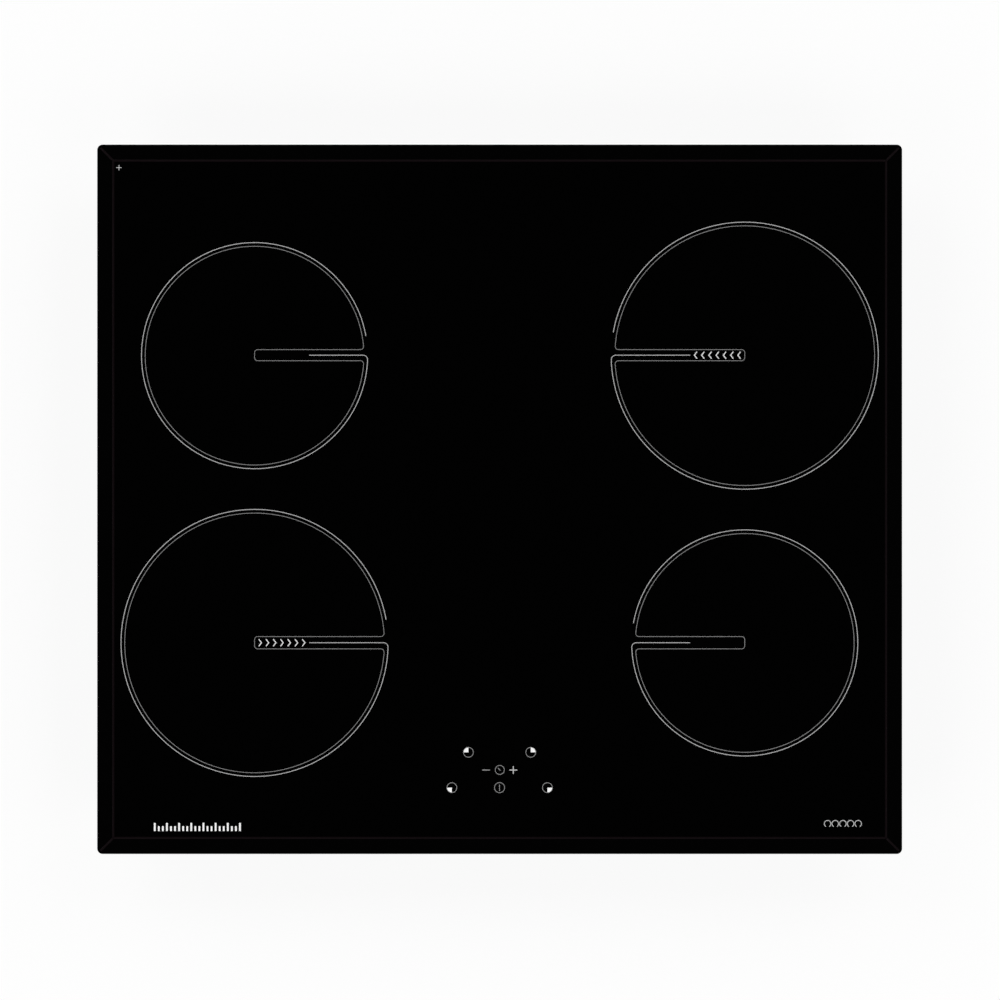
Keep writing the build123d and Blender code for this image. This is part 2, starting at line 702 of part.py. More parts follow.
for side_name, side in SIDES.items():
    module_x = side * module_offset_x
    fan_plane = Plane(origin=(module_x, fan_y, tray_floor_z))

    with BuildPart() as electronics_tray:
        with BuildSketch(Plane.XY.offset(tray_bottom_z)):
            with Locations((module_x, 0)):
                Rectangle(tray_width, tray_depth)
            with Locations((module_x, fan_y)):
                RegularPolygon(intake_radius, disc_side_count, mode=Mode.SUBTRACT)
        extrude(amount=tray_floor)
        with BuildSketch(Plane.XY.offset(tray_floor_z)):
            with Locations((module_x, 0)):
                frame_outline(tray_width, tray_depth, tray_rim_wall)
        extrude(amount=tray_rim)
        # Corner posts stand on the case's floor and carry the coil plate, which drops over their pegs.
        with BuildSketch(Plane.XY.offset(floor_z)):
            with Locations((module_x, 0)):
                with GridLocations(2 * post_x, 2 * post_y, 2, 2):
                    Rectangle(post_width, post_width)
        extrude(amount=plate_bottom_z - floor_z)
        with BuildSketch(Plane.XY.offset(plate_bottom_z)):
            with Locations((module_x, 0)):
                with GridLocations(2 * post_x, 2 * post_y, 2, 2):
                    Rectangle(peg_width, peg_width)
        extrude(amount=plate_sheet + peg_rise)
        # Rests for the power board.
        with BuildSketch(Plane.XY.offset(tray_floor_z)):
            with Locations((module_x, board_y)):
                with GridLocations(board_width - rest_width, board_depth - rest_width, 2, 2):
                    Rectangle(rest_width, rest_width)
        extrude(amount=rest_height)
        # The blower's scroll is moulded in one with the tray.
        with BuildSketch(fan_plane):
            with BuildLine():
                scroll_line(scroll_wall)
            make_face()
            with BuildLine():
                scroll_line(0)
            make_face(mode=Mode.SUBTRACT)
        extrude(amount=scroll_height)
    finish(electronics_tray, f"electronics_tray_{side_name}")

    with BuildPart() as fan_cover:
        with BuildSketch(fan_plane.offset(scroll_height)) as cover_plan:
            with Locations((cover_x, cover_y)):
                Rectangle(cover_width, cover_depth)
            rear_corners = cover_plan.vertices().sort_by(Axis.Y)[2:]
            chamfer(rear_corners, length=cover_rear_corner)
            front_corner = cover_plan.vertices().group_by(Axis.Y)[0].sort_by(Axis.X)[-1]
            chamfer(front_corner, length=cover_front_corner)
        extrude(amount=cover_sheet)
    finish(fan_cover, f"fan_cover_{side_name}")

    with BuildPart() as fan_impeller:
        with BuildSketch(Plane(origin=(module_x, fan_y, impeller_top_z - impeller_disc))):
            RegularPolygon(impeller_radius, disc_side_count)
            RegularPolygon(hub_radius - hub_wall, hub_side_count, mode=Mode.SUBTRACT)
        extrude(amount=impeller_disc)
        with BuildSketch(Plane(origin=(module_x, fan_y, impeller_bottom_z))):
            with PolarLocations(0, blade_count):
                add(blade_plan.sketch)
        extrude(amount=impeller_height - impeller_disc)
        # Cup round the motor, with the shaft's bore in its floor.
        with BuildSketch(Plane(origin=(module_x, fan_y, impeller_top_z - hub_depth))):
            RegularPolygon(hub_radius, hub_side_count)
            Circle(shaft_radius, mode=Mode.SUBTRACT)
        extrude(amount=hub_wall)
        with BuildSketch(Plane(origin=(module_x, fan_y, impeller_top_z - hub_depth + hub_wall))):
            RegularPolygon(hub_radius, hub_side_count)
            RegularPolygon(hub_radius - hub_wall, hub_side_count, mode=Mode.SUBTRACT)
        extrude(amount=hub_depth - hub_wall)
    finish(fan_impeller, f"fan_impeller_{side_name}")

    with BuildPart() as fan_shaft:
        with BuildSketch(Plane(origin=(module_x, fan_y, hub_bottom_z))):
            Circle(shaft_radius)
        extrude(amount=hub_wall + motor_end_gap + shaft_reach)
    finish(fan_shaft, f"fan_shaft_{side_name}")

    with BuildPart() as power_board:
        with BuildSketch(Plane.XY.offset(board_bottom_z)):
            with Locations((module_x, board_y)):
                Rectangle(board_width, board_depth)
        extrude(amount=board_thickness)
    finish(power_board, f"power_board_{side_name}")

    # Extruded heatsink in line with the blower's outlet: a base with upright fins.
    with BuildPart() as heatsink:
        with BuildSketch(Plane.XZ.offset(-heatsink_y)):
            with Locations((module_x + scroll_mouth_x, board_top_z + heatsink_base / 2)):
                Rectangle(heatsink_width, heatsink_base)
            with Locations((module_x + scroll_mouth_x, board_top_z + heatsink_height / 2)):
                with GridLocations((heatsink_width - fin_thickness) / (fin_count - 1), 0, fin_count, 1):
                    Rectangle(fin_thickness, heatsink_height)
        extrude(amount=heatsink_length / 2, both=True)
    finish(heatsink, f"heatsink_{side_name}")

    # Power transistors stand in a row against the heatsink's last fin, each on three leads.
    with BuildPart() as power_transistors:
        with BuildSketch(Plane.XY.offset(board_top_z + lead_length)):
            with Locations((module_x + transistor_x, heatsink_y)):
                with GridLocations(0, transistor_pitch, 1, transistor_count):
                    Rectangle(transistor_thickness, transistor_width)
        extrude(amount=transistor_height)
        with BuildSketch(Plane.XY.offset(board_top_z)):
            with Locations((module_x + transistor_x, heatsink_y)):
                with GridLocations(0, transistor_pitch, 1, transistor_count):
                    with GridLocations(0, lead_pitch, 1, 3):
                        Rectangle(lead_width, lead_width)
        extrude(amount=lead_length)
    finish(power_transistors, f"power_transistors_{side_name}")

    # Resonance and smoothing capacitors in a column, and the choke in front of them.
    column_x = module_x + parts_column_x
    column_rear_y = board_rear_y - parts_row_gap
    with BuildPart() as film_capacitors:
        with BuildSketch(Plane.XY.offset(board_top_z)):
            for i in range(film_capacitor_count):
                capacitor_y = column_rear_y - film_capacitor_depth / 2 - i * film_capacitor_pitch
                with Locations((column_x, capacitor_y)):
                    Rectangle(film_capacitor_width, film_capacitor_depth)
        extrude(amount=film_capacitor_height)
    finish(film_capacitors, f"film_capacitors_{side_name}")

    choke_y = column_rear_y - film_capacitor_count * film_capacitor_pitch - choke_winding_depth / 2
    with BuildPart() as choke:
        with BuildSketch(Plane.XY.offset(board_top_z)):
            with Locations((column_x, choke_y)):
                Rectangle(choke_core_width, choke_core_depth)
        extrude(amount=choke_height)
        with BuildSketch(Plane.XY.offset(board_top_z)):
            with Locations((column_x, choke_y)):
                Rectangle(choke_winding_width, choke_winding_depth)
        extrude(amount=choke_height - choke_yoke)
    finish(choke, f"choke_{side_name}")

# Each motor hangs under its cover, inside the impeller's cup, and holds the shaft in a bearing.
with BuildPart() as fan_motors:
    motor_bottom_z = hub_bottom_z + hub_wall + motor_end_gap
    with BuildSketch(Plane.XY.offset(motor_bottom_z)):
        with Locations((0, fan_y)):
            with GridLocations(2 * module_offset_x, 0, 2, 1):
                RegularPolygon(motor_radius, hub_side_count)
    extrude(amount=cover_bottom_z - motor_bottom_z)
    with BuildSketch(Plane.XY.offset(motor_bottom_z)):
        with Locations((0, fan_y)):
            with GridLocations(2 * module_offset_x, 0, 2, 1):
                Circle(shaft_radius + shaft_clearance)
    extrude(amount=shaft_reach + shaft_clearance, mode=Mode.SUBTRACT)
finish(fan_motors, "fan_motors")

# ---------------------------------------------------------------- mains filter
with BuildPart() as filter_spacers:
    with BuildSketch(Plane.XY.offset(floor_z)):
        with Locations((0, filter_center_y)):
            with GridLocations(filter_width - spacer_width, filter_depth - spacer_width, 2, 2):
                Rectangle(spacer_width, spacer_width)
    extrude(amount=filter_rise)
finish(filter_spacers, "filter_spacers")

with BuildPart() as filter_board:
    with BuildSketch(Plane.XY.offset(filter_bottom_z)):
        with Locations((0, filter_center_y)):
            Rectangle(filter_width, filter_depth)
    extrude(amount=board_thickness)
finish(filter_board, "filter_board")

# Common-mode choke: a closed rectangular core, wound on both long legs.
with BuildPart() as filter_choke:
    with BuildSketch(Plane.XY.offset(filter_top_z)):
        with Locations((0, filter_center_y + filter_depth / 4)):
            Rectangle(filter_choke_width, filter_choke_depth)
            Rectangle(filter_choke_window, filter_choke_window, mode=Mode.SUBTRACT)
    extrude(amount=filter_choke_height)
finish(filter_choke, "filter_choke")

with BuildPart() as mains_capacitors:
    with BuildSketch(Plane.XY.offset(filter_top_z)):
        with Locations((-filter_width / 4, filter_center_y - filter_depth / 4)):
            with GridLocations(0, mains_capacitor_pitch, 1, 2):
                Rectangle(mains_capacitor_width, mains_capacitor_depth)
    extrude(amount=mains_capacitor_height)
finish(mains_capacitors, "mains_capacitors")

with BuildPart() as mains_relays:
    with BuildSketch(Plane.XY.offset(filter_top_z)):
        with Locations((filter_width / 4, filter_center_y - filter_depth / 4)):
            with GridLocations(relay_width + spacer_width, 0, 2, 1):
                Rectangle(relay_width, relay_depth)
    extrude(amount=relay_height)
finish(mains_relays, "mains_relays")

# ---------------------------------------------------------------- touch control
control_middle = (0, control_center_y)
with BuildPart() as control_carrier:
    with BuildSketch(Plane.XY.offset(carrier_bottom_z)):
        with Locations(control_middle):
            Rectangle(carrier_width, carrier_depth)
            with GridLocations(carrier_width + carrier_ear_length, 0, 2, 1):
                Rectangle(carrier_ear_length, carrier_ear_width)
    extrude(amount=carrier_wall)
    with BuildSketch(Plane.XY.offset(carrier_bottom_z)):
        with Locations(control_middle):
            frame_outline(carrier_width, carrier_depth, carrier_wall)
    extrude(amount=control_board_top_z - carrier_bottom_z)
    # Corner rests under the control board.
    with BuildSketch(Plane.XY.offset(carrier_bottom_z)):
        with Locations(control_middle):
            with GridLocations(
                carrier_width - 2 * carrier_wall - control_rest,
                carrier_depth - 2 * carrier_wall - control_rest, 2, 2,
            ):
                Rectangle(control_rest, control_rest)
    extrude(amount=control_board_bottom_z - carrier_bottom_z)
finish(control_carrier, "control_carrier")

with BuildPart() as control_board:
    with BuildSketch(Plane.XY.offset(control_board_bottom_z)):
        with Locations(control_middle):
            Rectangle(control_board_width, control_board_depth)
    extrude(amount=board_thickness)
finish(control_board, "control_board")

# Conductive foam pads stand on the board under each printed key and touch the glass.
key_places = [(0, control_center_y), (0, control_center_y - key_corner_y)]
key_places += [(side * key_step_x, control_center_y) for side in SIDES.values()]
key_places += [(side * key_corner_x, control_center_y - key_corner_y) for side in SIDES.values()]
key_places += [(side * key_inner_x, control_center_y + key_inner_y) for side in SIDES.values()]
with BuildPart() as touch_electrodes:
    with BuildSketch(Plane.XY.offset(control_board_top_z)):
        with Locations(*key_places):
            Rectangle(electrode_side, electrode_side)
    extrude(amount=electrode_height)
finish(touch_electrodes, "touch_electrodes")

with BuildPart() as digit_displays:
    with BuildSketch(Plane.XY.offset(control_board_top_z)):
        with Locations(*[(x, control_center_y + digit_row_y) for x in digit_places]):
            Rectangle(digit_width, digit_depth)
    extrude(amount=digit_height)
finish(digit_displays, "digit_displays")

with BuildPart() as buzzer:
    with BuildSketch(Plane.XY.offset(control_board_bottom_z - buzzer_height)):
        with Locations(control_middle):
            RegularPolygon(buzzer_width / 2, 8)
    extrude(amount=buzzer_height)
finish(buzzer, "buzzer")

# ---------------------------------------------------------------- terminal box
box_width = terminal_width + 2 * terminal_wall
box_depth = terminal_depth + 2 * terminal_wall
terminal_middle = (0, terminal_center_y)
with BuildPart() as terminal_box:
    with BuildSketch(Plane.XY.offset(floor_z)):
        with Locations(terminal_middle):
            Rectangle(box_width, box_depth)
    extrude(amount=terminal_height)
    with BuildSketch(Plane.XY.offset(floor_z)):
        with Locations(terminal_middle):
            Rectangle(box_width + 2 * terminal_flange, box_depth + 2 * terminal_flange)
    extrude(amount=terminal_wall)
    with BuildSketch(Plane.XY.offset(floor_z)):
        with Locations(terminal_middle):
            Rectangle(terminal_width, terminal_depth)
    extrude(amount=terminal_height - terminal_wall, mode=Mode.SUBTRACT)
    # The leads to the filter board leave through a slot in the front wall.
    with BuildSketch(Plane.XZ.offset(-terminal_center_y + terminal_depth / 2)):
        with Locations((0, lead_level_z)):
            Rectangle(lead_slot_width, lead_slot_height)
    extrude(amount=terminal_wall, mode=Mode.SUBTRACT)
    # Holes for the hinge pin in both side walls.
    with BuildSketch(Plane.YZ.offset(-box_width / 2)):
        with Locations((door_axis_y, door_axis_z)):
            Circle(door_pin_radius)
    extrude(amount=box_width, mode=Mode.SUBTRACT)
finish(terminal_box, "terminal_box")

with BuildPart() as terminal_block:
    with BuildSketch(Plane.XY.offset(block_bottom_z)):
        with Locations(terminal_middle):
            Rectangle(terminal_pole_count * terminal_pitch, terminal_block_depth)
    extrude(amount=terminal_block_height)
    with BuildSketch(Plane.XY.offset(block_bottom_z)):
        with Locations(terminal_middle):
            with GridLocations(terminal_pitch, 0, terminal_pole_count, 1):
                Rectangle(terminal_well, terminal_well)
    extrude(amount=terminal_well_depth, mode=Mode.SUBTRACT)
finish(terminal_block, "terminal_block")

with BuildPart() as terminal_cages:
    with BuildSketch(Plane.XY.offset(block_bottom_z + terminal_well_depth)):
        with Locations(terminal_middle):
            with GridLocations(terminal_pitch, 0, terminal_pole_count, 1):
                Rectangle(terminal_well, terminal_well)
    extrude(amount=-cage_height)
finish(terminal_cages, "terminal_cages")

with BuildPart() as terminal_cover:
    cover_rear_y = terminal_center_y + terminal_depth / 2 - door_gap
    with BuildSketch(Plane.XY.offset(door_bottom_z)):
        with Locations((0, (door_axis_y + cover_rear_y) / 2)):
            Rectangle(terminal_width - 2 * door_gap, cover_rear_y - door_axis_y)
        # Arched outlet for the mains cable in the rear edge.
        with Locations((0, cover_rear_y)):
            Rectangle(
                cable_outlet_width, 2 * cable_outlet_depth - cable_outlet_width, mode=Mode.SUBTRACT
            )
        with Locations((0, cover_rear_y - cable_outlet_depth + cable_outlet_width / 2)):
            Circle(cable_outlet_width / 2, mode=Mode.SUBTRACT)
    extrude(amount=door_thickness)
    hinge_plane = Plane.YZ.offset(-terminal_width / 2 + door_gap)
    with BuildSketch(hinge_plane):
        with Locations((door_axis_y, door_axis_z)):
            Circle(barrel_radius)
    extrude(amount=terminal_width - 2 * door_gap)
    with BuildSketch(hinge_plane):
        with Locations((door_axis_y, door_axis_z)):
            Circle(door_pin_radius + door_pin_clearance)
    extrude(amount=terminal_width - 2 * door_gap, mode=Mode.SUBTRACT)
finish(terminal_cover, "terminal_cover")

with BuildPart() as hinge_pin:
    with BuildSketch(Plane.YZ.offset(-box_width / 2)):
        with Locations((door_axis_y, door_axis_z)):
            Circle(door_pin_radius)
    extrude(amount=box_width)
finish(hinge_pin, "hinge_pin")

# Leads from the terminal block through the slot and down to the filter board.
with BuildPart() as mains_leads:
    block_front_y = terminal_center_y - terminal_block_depth / 2
    board_rear_edge = filter_center_y + filter_depth / 2
    with BuildLine() as lead_route:
        Polyline(
            (0, block_front_y, lead_level_z),
            (0, board_rear_edge, lead_level_z),
            (0, board_rear_edge - mains_lead_bend, lead_level_z - mains_lead_bend),
            (0, board_rear_edge - mains_lead_bend, filter_top_z),
        )
    with BuildSketch(Plane.XZ.offset(-block_front_y)):
        with Locations((0, lead_level_z)):
            with GridLocations(mains_lead_pitch, 0, mains_lead_count, 1):
                Rectangle(mains_lead_size, mains_lead_size)
    sweep(path=lead_route.line, transition=Transition.RIGHT)
finish(mains_leads, "mains_leads")

# ---------------------------------------------------------------- worktop clamps
with BuildPart() as clamp_screws:
    with BuildSketch(Plane.XY.offset(clamp_bottom_z - clamp_head_gap)):
        with GridLocations(2 * clamp_pivot_x, 2 * clamp_pivot_y, 2, 2):
            RegularPolygon(clamp_head_across / 2, 6, major_radius=False)
    extrude(amount=-clamp_head_height)
    with BuildSketch(Plane.XY.offset(clamp_bottom_z - clamp_head_gap)):
        with GridLocations(2 * clamp_pivot_x, 2 * clamp_pivot_y, 2, 2):
            Circle(clamp_screw_radius)
    extrude(amount=ledge_z + clamp_screw_grip - clamp_bottom_z)
finish(clamp_screws, "clamp_screws")

for zone, (along_x, along_y, coil_radius, arm_count) in ZONES.items():
    pivot = (along_x * clamp_pivot_x, along_y * clamp_pivot_y)
    arm_middle = (pivot[0], pivot[1] - along_y * clamp_reach / 2)
    tip = (pivot[0], pivot[1] - along_y * (clamp_reach + clamp_width / 2 - clamp_sheet / 2))
    with BuildPart() as worktop_clamp:
        with BuildSketch(Plane.XY.offset(clamp_bottom_z)) as clamp_plan:
            with Locations(arm_middle):
                Rectangle(clamp_width, clamp_reach + clamp_width)
            chamfer(clamp_plan.vertices(), length=clamp_corner)
            with Locations(pivot):
                Circle(clamp_screw_radius + screw_clearance, mode=Mode.SUBTRACT)
        extrude(amount=clamp_sheet)
        with BuildSketch(Plane.XY.offset(clamp_bottom_z)):
            with Locations(tip):
                Rectangle(clamp_width - 2 * clamp_corner, clamp_sheet)
        extrude(amount=-clamp_lip)
    finish(worktop_clamp, f"worktop_clamp_{zone}")

os.makedirs("parts", exist_ok=True)
for piece in finished:
    export_step(piece, f"parts/{piece.label}.step")
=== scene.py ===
"""Looks of a built-in induction hob: printed lines and symbols on its glass, finishes for all of its
parts, and a plain studio round it. Lengths are in metres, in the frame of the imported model.

It is laid out as an add-on and run as a script."""

import math

import bpy
import numpy as np
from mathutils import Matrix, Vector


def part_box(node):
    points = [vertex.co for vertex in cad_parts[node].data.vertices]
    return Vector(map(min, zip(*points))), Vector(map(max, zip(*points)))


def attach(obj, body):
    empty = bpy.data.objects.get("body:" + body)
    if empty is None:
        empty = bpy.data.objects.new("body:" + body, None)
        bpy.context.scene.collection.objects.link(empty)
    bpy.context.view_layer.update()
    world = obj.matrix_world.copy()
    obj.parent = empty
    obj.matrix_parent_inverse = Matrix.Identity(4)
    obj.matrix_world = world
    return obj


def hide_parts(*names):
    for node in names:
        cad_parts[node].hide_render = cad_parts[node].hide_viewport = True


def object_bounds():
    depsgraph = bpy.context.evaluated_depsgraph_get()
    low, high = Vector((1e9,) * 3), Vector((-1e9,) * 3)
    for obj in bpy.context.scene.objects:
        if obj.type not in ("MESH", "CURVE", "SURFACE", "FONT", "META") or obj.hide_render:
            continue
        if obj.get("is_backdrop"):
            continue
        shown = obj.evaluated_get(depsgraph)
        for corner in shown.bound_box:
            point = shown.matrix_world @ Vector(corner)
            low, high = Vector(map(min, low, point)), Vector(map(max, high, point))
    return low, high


bl_info = {
    "name": "Induction hob looks",
    "version": (1, 0, 0),
    "blender": (4, 5, 0),
    "location": "View3D > Sidebar > Hob",
    "description": "Printed glass, finishes and studio for a built-in induction hob",
    "category": "Object",
}

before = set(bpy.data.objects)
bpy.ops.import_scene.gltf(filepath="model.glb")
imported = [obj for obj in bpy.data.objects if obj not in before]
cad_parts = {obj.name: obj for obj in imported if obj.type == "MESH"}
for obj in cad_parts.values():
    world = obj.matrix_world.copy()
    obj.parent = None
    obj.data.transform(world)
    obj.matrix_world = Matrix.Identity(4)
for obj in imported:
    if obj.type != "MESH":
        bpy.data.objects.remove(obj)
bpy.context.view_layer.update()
GLASS_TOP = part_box("glass_top")[1].z
GLASS_HALF = np.array([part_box("glass_top")[1].x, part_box("glass_top")[1].y])
MM = 0.001
DOWN = np.array([0.0, 0.0, -1.0])
# The four corners round the hob's middle, the steps to the four corners of a grid's face, and the
# angle from one point of a small curve to the next.
CORNERS = np.array([(1, 1), (-1, 1), (-1, -1), (1, -1)])
QUAD = ((0, 0), (0, 1), (1, 1), (1, 0))
FINE_STEP = math.radians(6)


def middle(node):
    """Middle of a node's box, as x and y."""
    low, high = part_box(node)
    return np.array([(low.x + high.x) / 2, (low.y + high.y) / 2])


def node_points(node):
    """A node's points as rows of x, y and z."""
    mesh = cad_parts[node].data
    points = np.zeros(len(mesh.vertices) * 3)
    mesh.vertices.foreach_get("co", points)
    return points.reshape(-1, 3)


# Each cooking zone: whether it is a large one, and the levels of its tongue's front and rear edge
# in millimetres from the zone's middle.
ZONES = {
    "front_left": (True, -4.33, 4.64),
    "rear_left": (False, -3.73, 4.42),
    "rear_right": (True, -3.73, 4.42),
    "front_right": (False, -4.33, 4.64),
}

# Touch keys: how far each lies from the middle of the control board, in millimetres, and where the
# filled quarter of a zone key starts, in degrees.
ZONE_KEYS = {
    "rear_left": (-22.9, 13.2, 90),
    "rear_right": (22.8, 13.2, 0),
    "front_left": (-35.0, -12.7, 180),
    "front_right": (35.0, -12.7, 270),
}
TIMER_KEY, SWITCH_KEY, MINUS_KEY, PLUS_KEY = (0.1, 0.3), (-0.1, -12.7), (-10.0, 0.2), (10.0, 0.2)

# The two ends of the timer's one hand and of the switch's bar, as shares of their rings' radii, and
# how much bolder they are than the rings.
TIMER_HAND, SWITCH_BAR, BOLDER = ((-0.38, 0.42), (0.12, -0.13)), ((0, 0.6), (0, -0.68)), 1.2

# Every third tick of the scale is tall. A coil loop is open at its foot, between these two angles.
TALL_EVERY = 3
LOOP_ENDS = (math.radians(-60), math.radians(240))

# The view's middle against the hob's, as shares of its width: 0.3 mm to the right and 0.5 mm to the
# front.
VIEW_SHIFT = (0.00035, -0.00071)

# The light that the world sends from each height, from straight below at 0 to overhead at 1.
SKY = ((0.0, 0.85), (0.5, 1.0), (0.62, 0.72), (0.75, 0.32), (0.92, 0.012), (1.0, 0.005))


def linear(code):
    """An sRGB hex colour as linear red, green and blue."""
    channels = np.array([int(code[i : i + 2], 16) for i in (1, 3, 5)]) / 255
    low, high = channels / 12.92, ((channels + 0.055) / 1.055) ** 2.4
    return tuple(float(c) for c in np.where(channels <= 0.04045, low, high))


# ---------------------------------------------------------------- sizes and colours
def length(name, description, millimetres):
    """A length that the user can change, given here in millimetres."""
    return bpy.props.FloatProperty(
        name=name, description=description, default=millimetres * MM, min=0.0, precision=5,
        subtype="DISTANCE", unit="LENGTH",
    )


def angle(name, description, degrees):
    """An angle that the user can change, given here in degrees."""
    return bpy.props.FloatProperty(
        name=name, description=description, default=math.radians(degrees), subtype="ANGLE",
        unit="ROTATION",
    )


def share(name, description, value):
    """A share of a whole, from 0 to 1, that the user can change."""
    return bpy.props.FloatProperty(
        name=name, description=description, default=value, min=0.0, max=1.0, subtype="FACTOR"
    )


def count(name, description, number):
    """A number of like pieces that the user can change."""
    return bpy.props.IntProperty(name=name, description=description, default=number, min=1)


def colour(name, description, code):
    """A colour that the user can change, given here as sRGB hex."""
    return bpy.props.FloatVectorProperty(
        name=name, description=description, default=linear(code), size=3, min=0.0, max=1.0,
        subtype="COLOR",
    )


class HobPrint(bpy.types.PropertyGroup):
    """Sizes and colours of what is printed on the glass."""

    sink: length("Print sink", "Depth that the fired enamel fuses into the glass", 0.01)
    film: length("Film thickness", "Thickness of the fired enamel", 0.04)
    # The line along the bevel's edges is a painted highlight.
    edge_width: length("Edge width", "Width of the fine line along the bevel's edges", 1.6)
    edge_rise: length("Edge rise", "Height of that line over the glass", 0.02)
    edge_sink: length("Edge sink", "Depth of that line under the glass's surface", 0.03)
    edge_share: share("Mitre share", "Part of the corners' mitres that shows a line", 0.8)
    large_ring: length("Large ring radius", "Outer line of the two large zones", 97.8)
    small_ring: length("Small ring radius", "Outer line of the two small zones", 82.8)
    ring_gap: length("Line spacing", "From a zone's outer line to its inner line", 2.7)
    outer_width: length("Outer line width", "Width of a zone's outer line", 0.52)
    inner_width: length("Inner line width", "Width of a zone's inner line", 0.42)
    outer_turn: length("Outer turn radius", "Where the outer line turns into the tongue", 3.3)
    inner_turn: length("Inner turn radius", "Where the inner line turns into the tongue", 2.4)
    tongue_end: length("Tongue end radius", "Corners of the tongue's blind end", 2.3)
    stem_start: length("Stem start", "From a zone's middle to the free end of its outer line", 40.0)
    free_angle: angle("Free end angle", "Where a zone's outer line starts, past its tongue", 10)
    chevron_count: count("Chevrons", "Chevrons in a large zone's tongue", 7)
    chevron_height: length("Chevron height", "Height of a chevron", 5.1)
    chevron_depth: length("Chevron depth", "From a chevron's tip back to its ends", 1.95)
    chevron_stroke: length("Chevron stroke", "Width of a chevron's line", 0.75)
    chevron_start: length("Chevron start", "From a zone's middle to its first chevron", 3.1)
    chevron_end: length("Chevron end", "From a zone's middle to its last chevron's tip", 36.9)
    key_radius: length("Key radius", "Ring of a zone key", 3.6)
    switch_radius: length("Switch radius", "Ring of the main switch", 3.7)
    timer_radius: length("Timer radius", "Ring of the timer key", 3.3)
    key_line: length("Key line width", "Line of the keys' rings", 0.42)
    sign_reach: length("Sign reach", "From the middle of the plus or minus to its end", 2.85)
    sign_line: length("Sign line width", "Line of the plus and the minus", 0.7)
    mark_line: length("Mark line width", "Line of the coil loops and the cross", 0.53)
    scale_inset: length("Scale inset", "From the glass's side to the scale's first tick", 42.4)
    scale_rise: length("Scale rise", "From the glass's front edge to the foot of the scale", 17.0)
    scale_length: length("Scale length", "From the scale's first tick to its last", 62.4)
    tick_count: count("Ticks", "Ticks in the scale", 22)
    tick_height: length("Tick height", "Height of the scale's tall ticks", 6.0)
    short_tick: share("Short ticks", "Height of the other ticks, as a share of that", 0.6)
    tick_width: length("Tick width", "Width of a tick", 1.3)
    loops_inset: length("Loops inset", "From the glass's side to the row of coil loops", 30.0)
    loops_rise: length("Loops rise", "From the glass's front edge to the loops' middles", 22.4)
    loop_count: count("Loops", "Coil loops in the row", 5)
    loop_radius: length("Loop radius", "Radius of a coil loop", 2.4)
    loop_pitch: length("Loop pitch", "From one coil loop to the next", 5.6)
    cross_side: length("Cross to side", "From the glass's side to the small cross", 16.2)
    cross_rear: length("Cross to rear", "From the glass's rear edge to the small cross", 17.1)
    cross_reach: length("Cross reach", "From the cross's middle to its end", 1.9)
    outer_colour: colour("Outer line colour", "Enamel of the zones' outer lines", "#B1B1B1")
    inner_colour: colour("Inner line colour", "Enamel of the zones' inner lines", "#828282")
    chevron_colour: colour("Chevron colour", "Enamel of the chevrons", "#DADADA")
    key_colour: colour("Key colour", "Enamel of the keys' rings", "#8C8C8C")
    mark_colour: colour("Mark colour", "Enamel of the plus, the loops and the cross", "#BCBCBC")
    white_colour: colour("White", "Enamel of the filled quarters and the scale", "#F6F6F6")


class HobWire(bpy.types.PropertyGroup):
    """Sizes of the coils' litz wire and of the case's folded seams."""

    bore: length("Bore radius", "Inner radius of a coil's winding", 22.0)
    lay: length("Lay", "Length of wire in which its bundles go round once", 40.0)
    bundles: count("Bundles", "Bundles of strands laid round each other in the wire", 5)
    groove: length("Groove", "Depth of the grooves between the bundles", 0.22)
    step: length("Step", "Distance between two rings of points along the wire", 2.5)
    # The folds are drawn as thin dark strips of painted shadow.
    seam_width: length("Seam width", "Width of the open fold at the case's corners", 0.4)
    seam_inset: length("Seam inset", "From the case's corner to the fold", 1.0)
    seam_rise: length("Seam rise", "How far the fold's line stands proud of the wall", 0.02)


class HobScrews(bpy.types.PropertyGroup):
    """Sizes of what is cut and rolled into the screws."""

    thread_pitch: length("Thread pitch", "From one turn of the thread to the next", 1.3)
    thread_depth: length("Thread depth", "From the thread's crest to its root", 0.35)
    recess_depth: length("Recess depth", "Depth of the cross recess", 1.3)
    recess_reach: length("Recess reach", "From the head's middle to the end of the cross", 1.9)
    recess_width: length("Recess width", "Width of the cross's arms", 0.9)
    terminal_head: length("Terminal screw head", "Radius of a terminal screw's head", 2.6)
    terminal_rise: length("Terminal screw rise", "Height of a terminal screw's head", 1.6)
    slot_width: length("Slot width", "Width of the slot in a terminal screw", 0.9)
    slot_depth: length("Slot depth", "Depth of the slot in a terminal screw", 0.9)


class HobFinish(bpy.types.PropertyGroup):
    """Colours of the hob's own materials."""

    glass: colour("Glass", "Glass-ceramic, black all through", "#010101")
    # The bevel line's colour is a painted highlight, standing for a faint reflection at the bevel's
    # edges.
    bevel_highlight: colour("Bevel edge", "Edge where the ground bevel meets the face", "#0B0507")
    steel: colour("Galvanised steel", "Case, frame and clamps", "#A9ADB0")
    zinc: colour("Zinc plate", "Screws", "#CFCFC6")
    plastic: colour("Glass-filled polyamide", "Trays, covers and terminal box", "#1B1C1E")
    former: colour("Former", "Cream moulding that carries the windings", "#D8D2C2")
    copper: colour("Litz wire", "Enamelled copper strands", "#A85A2A")
    board: colour("Solder mask", "Circuit boards", "#1E5A34")


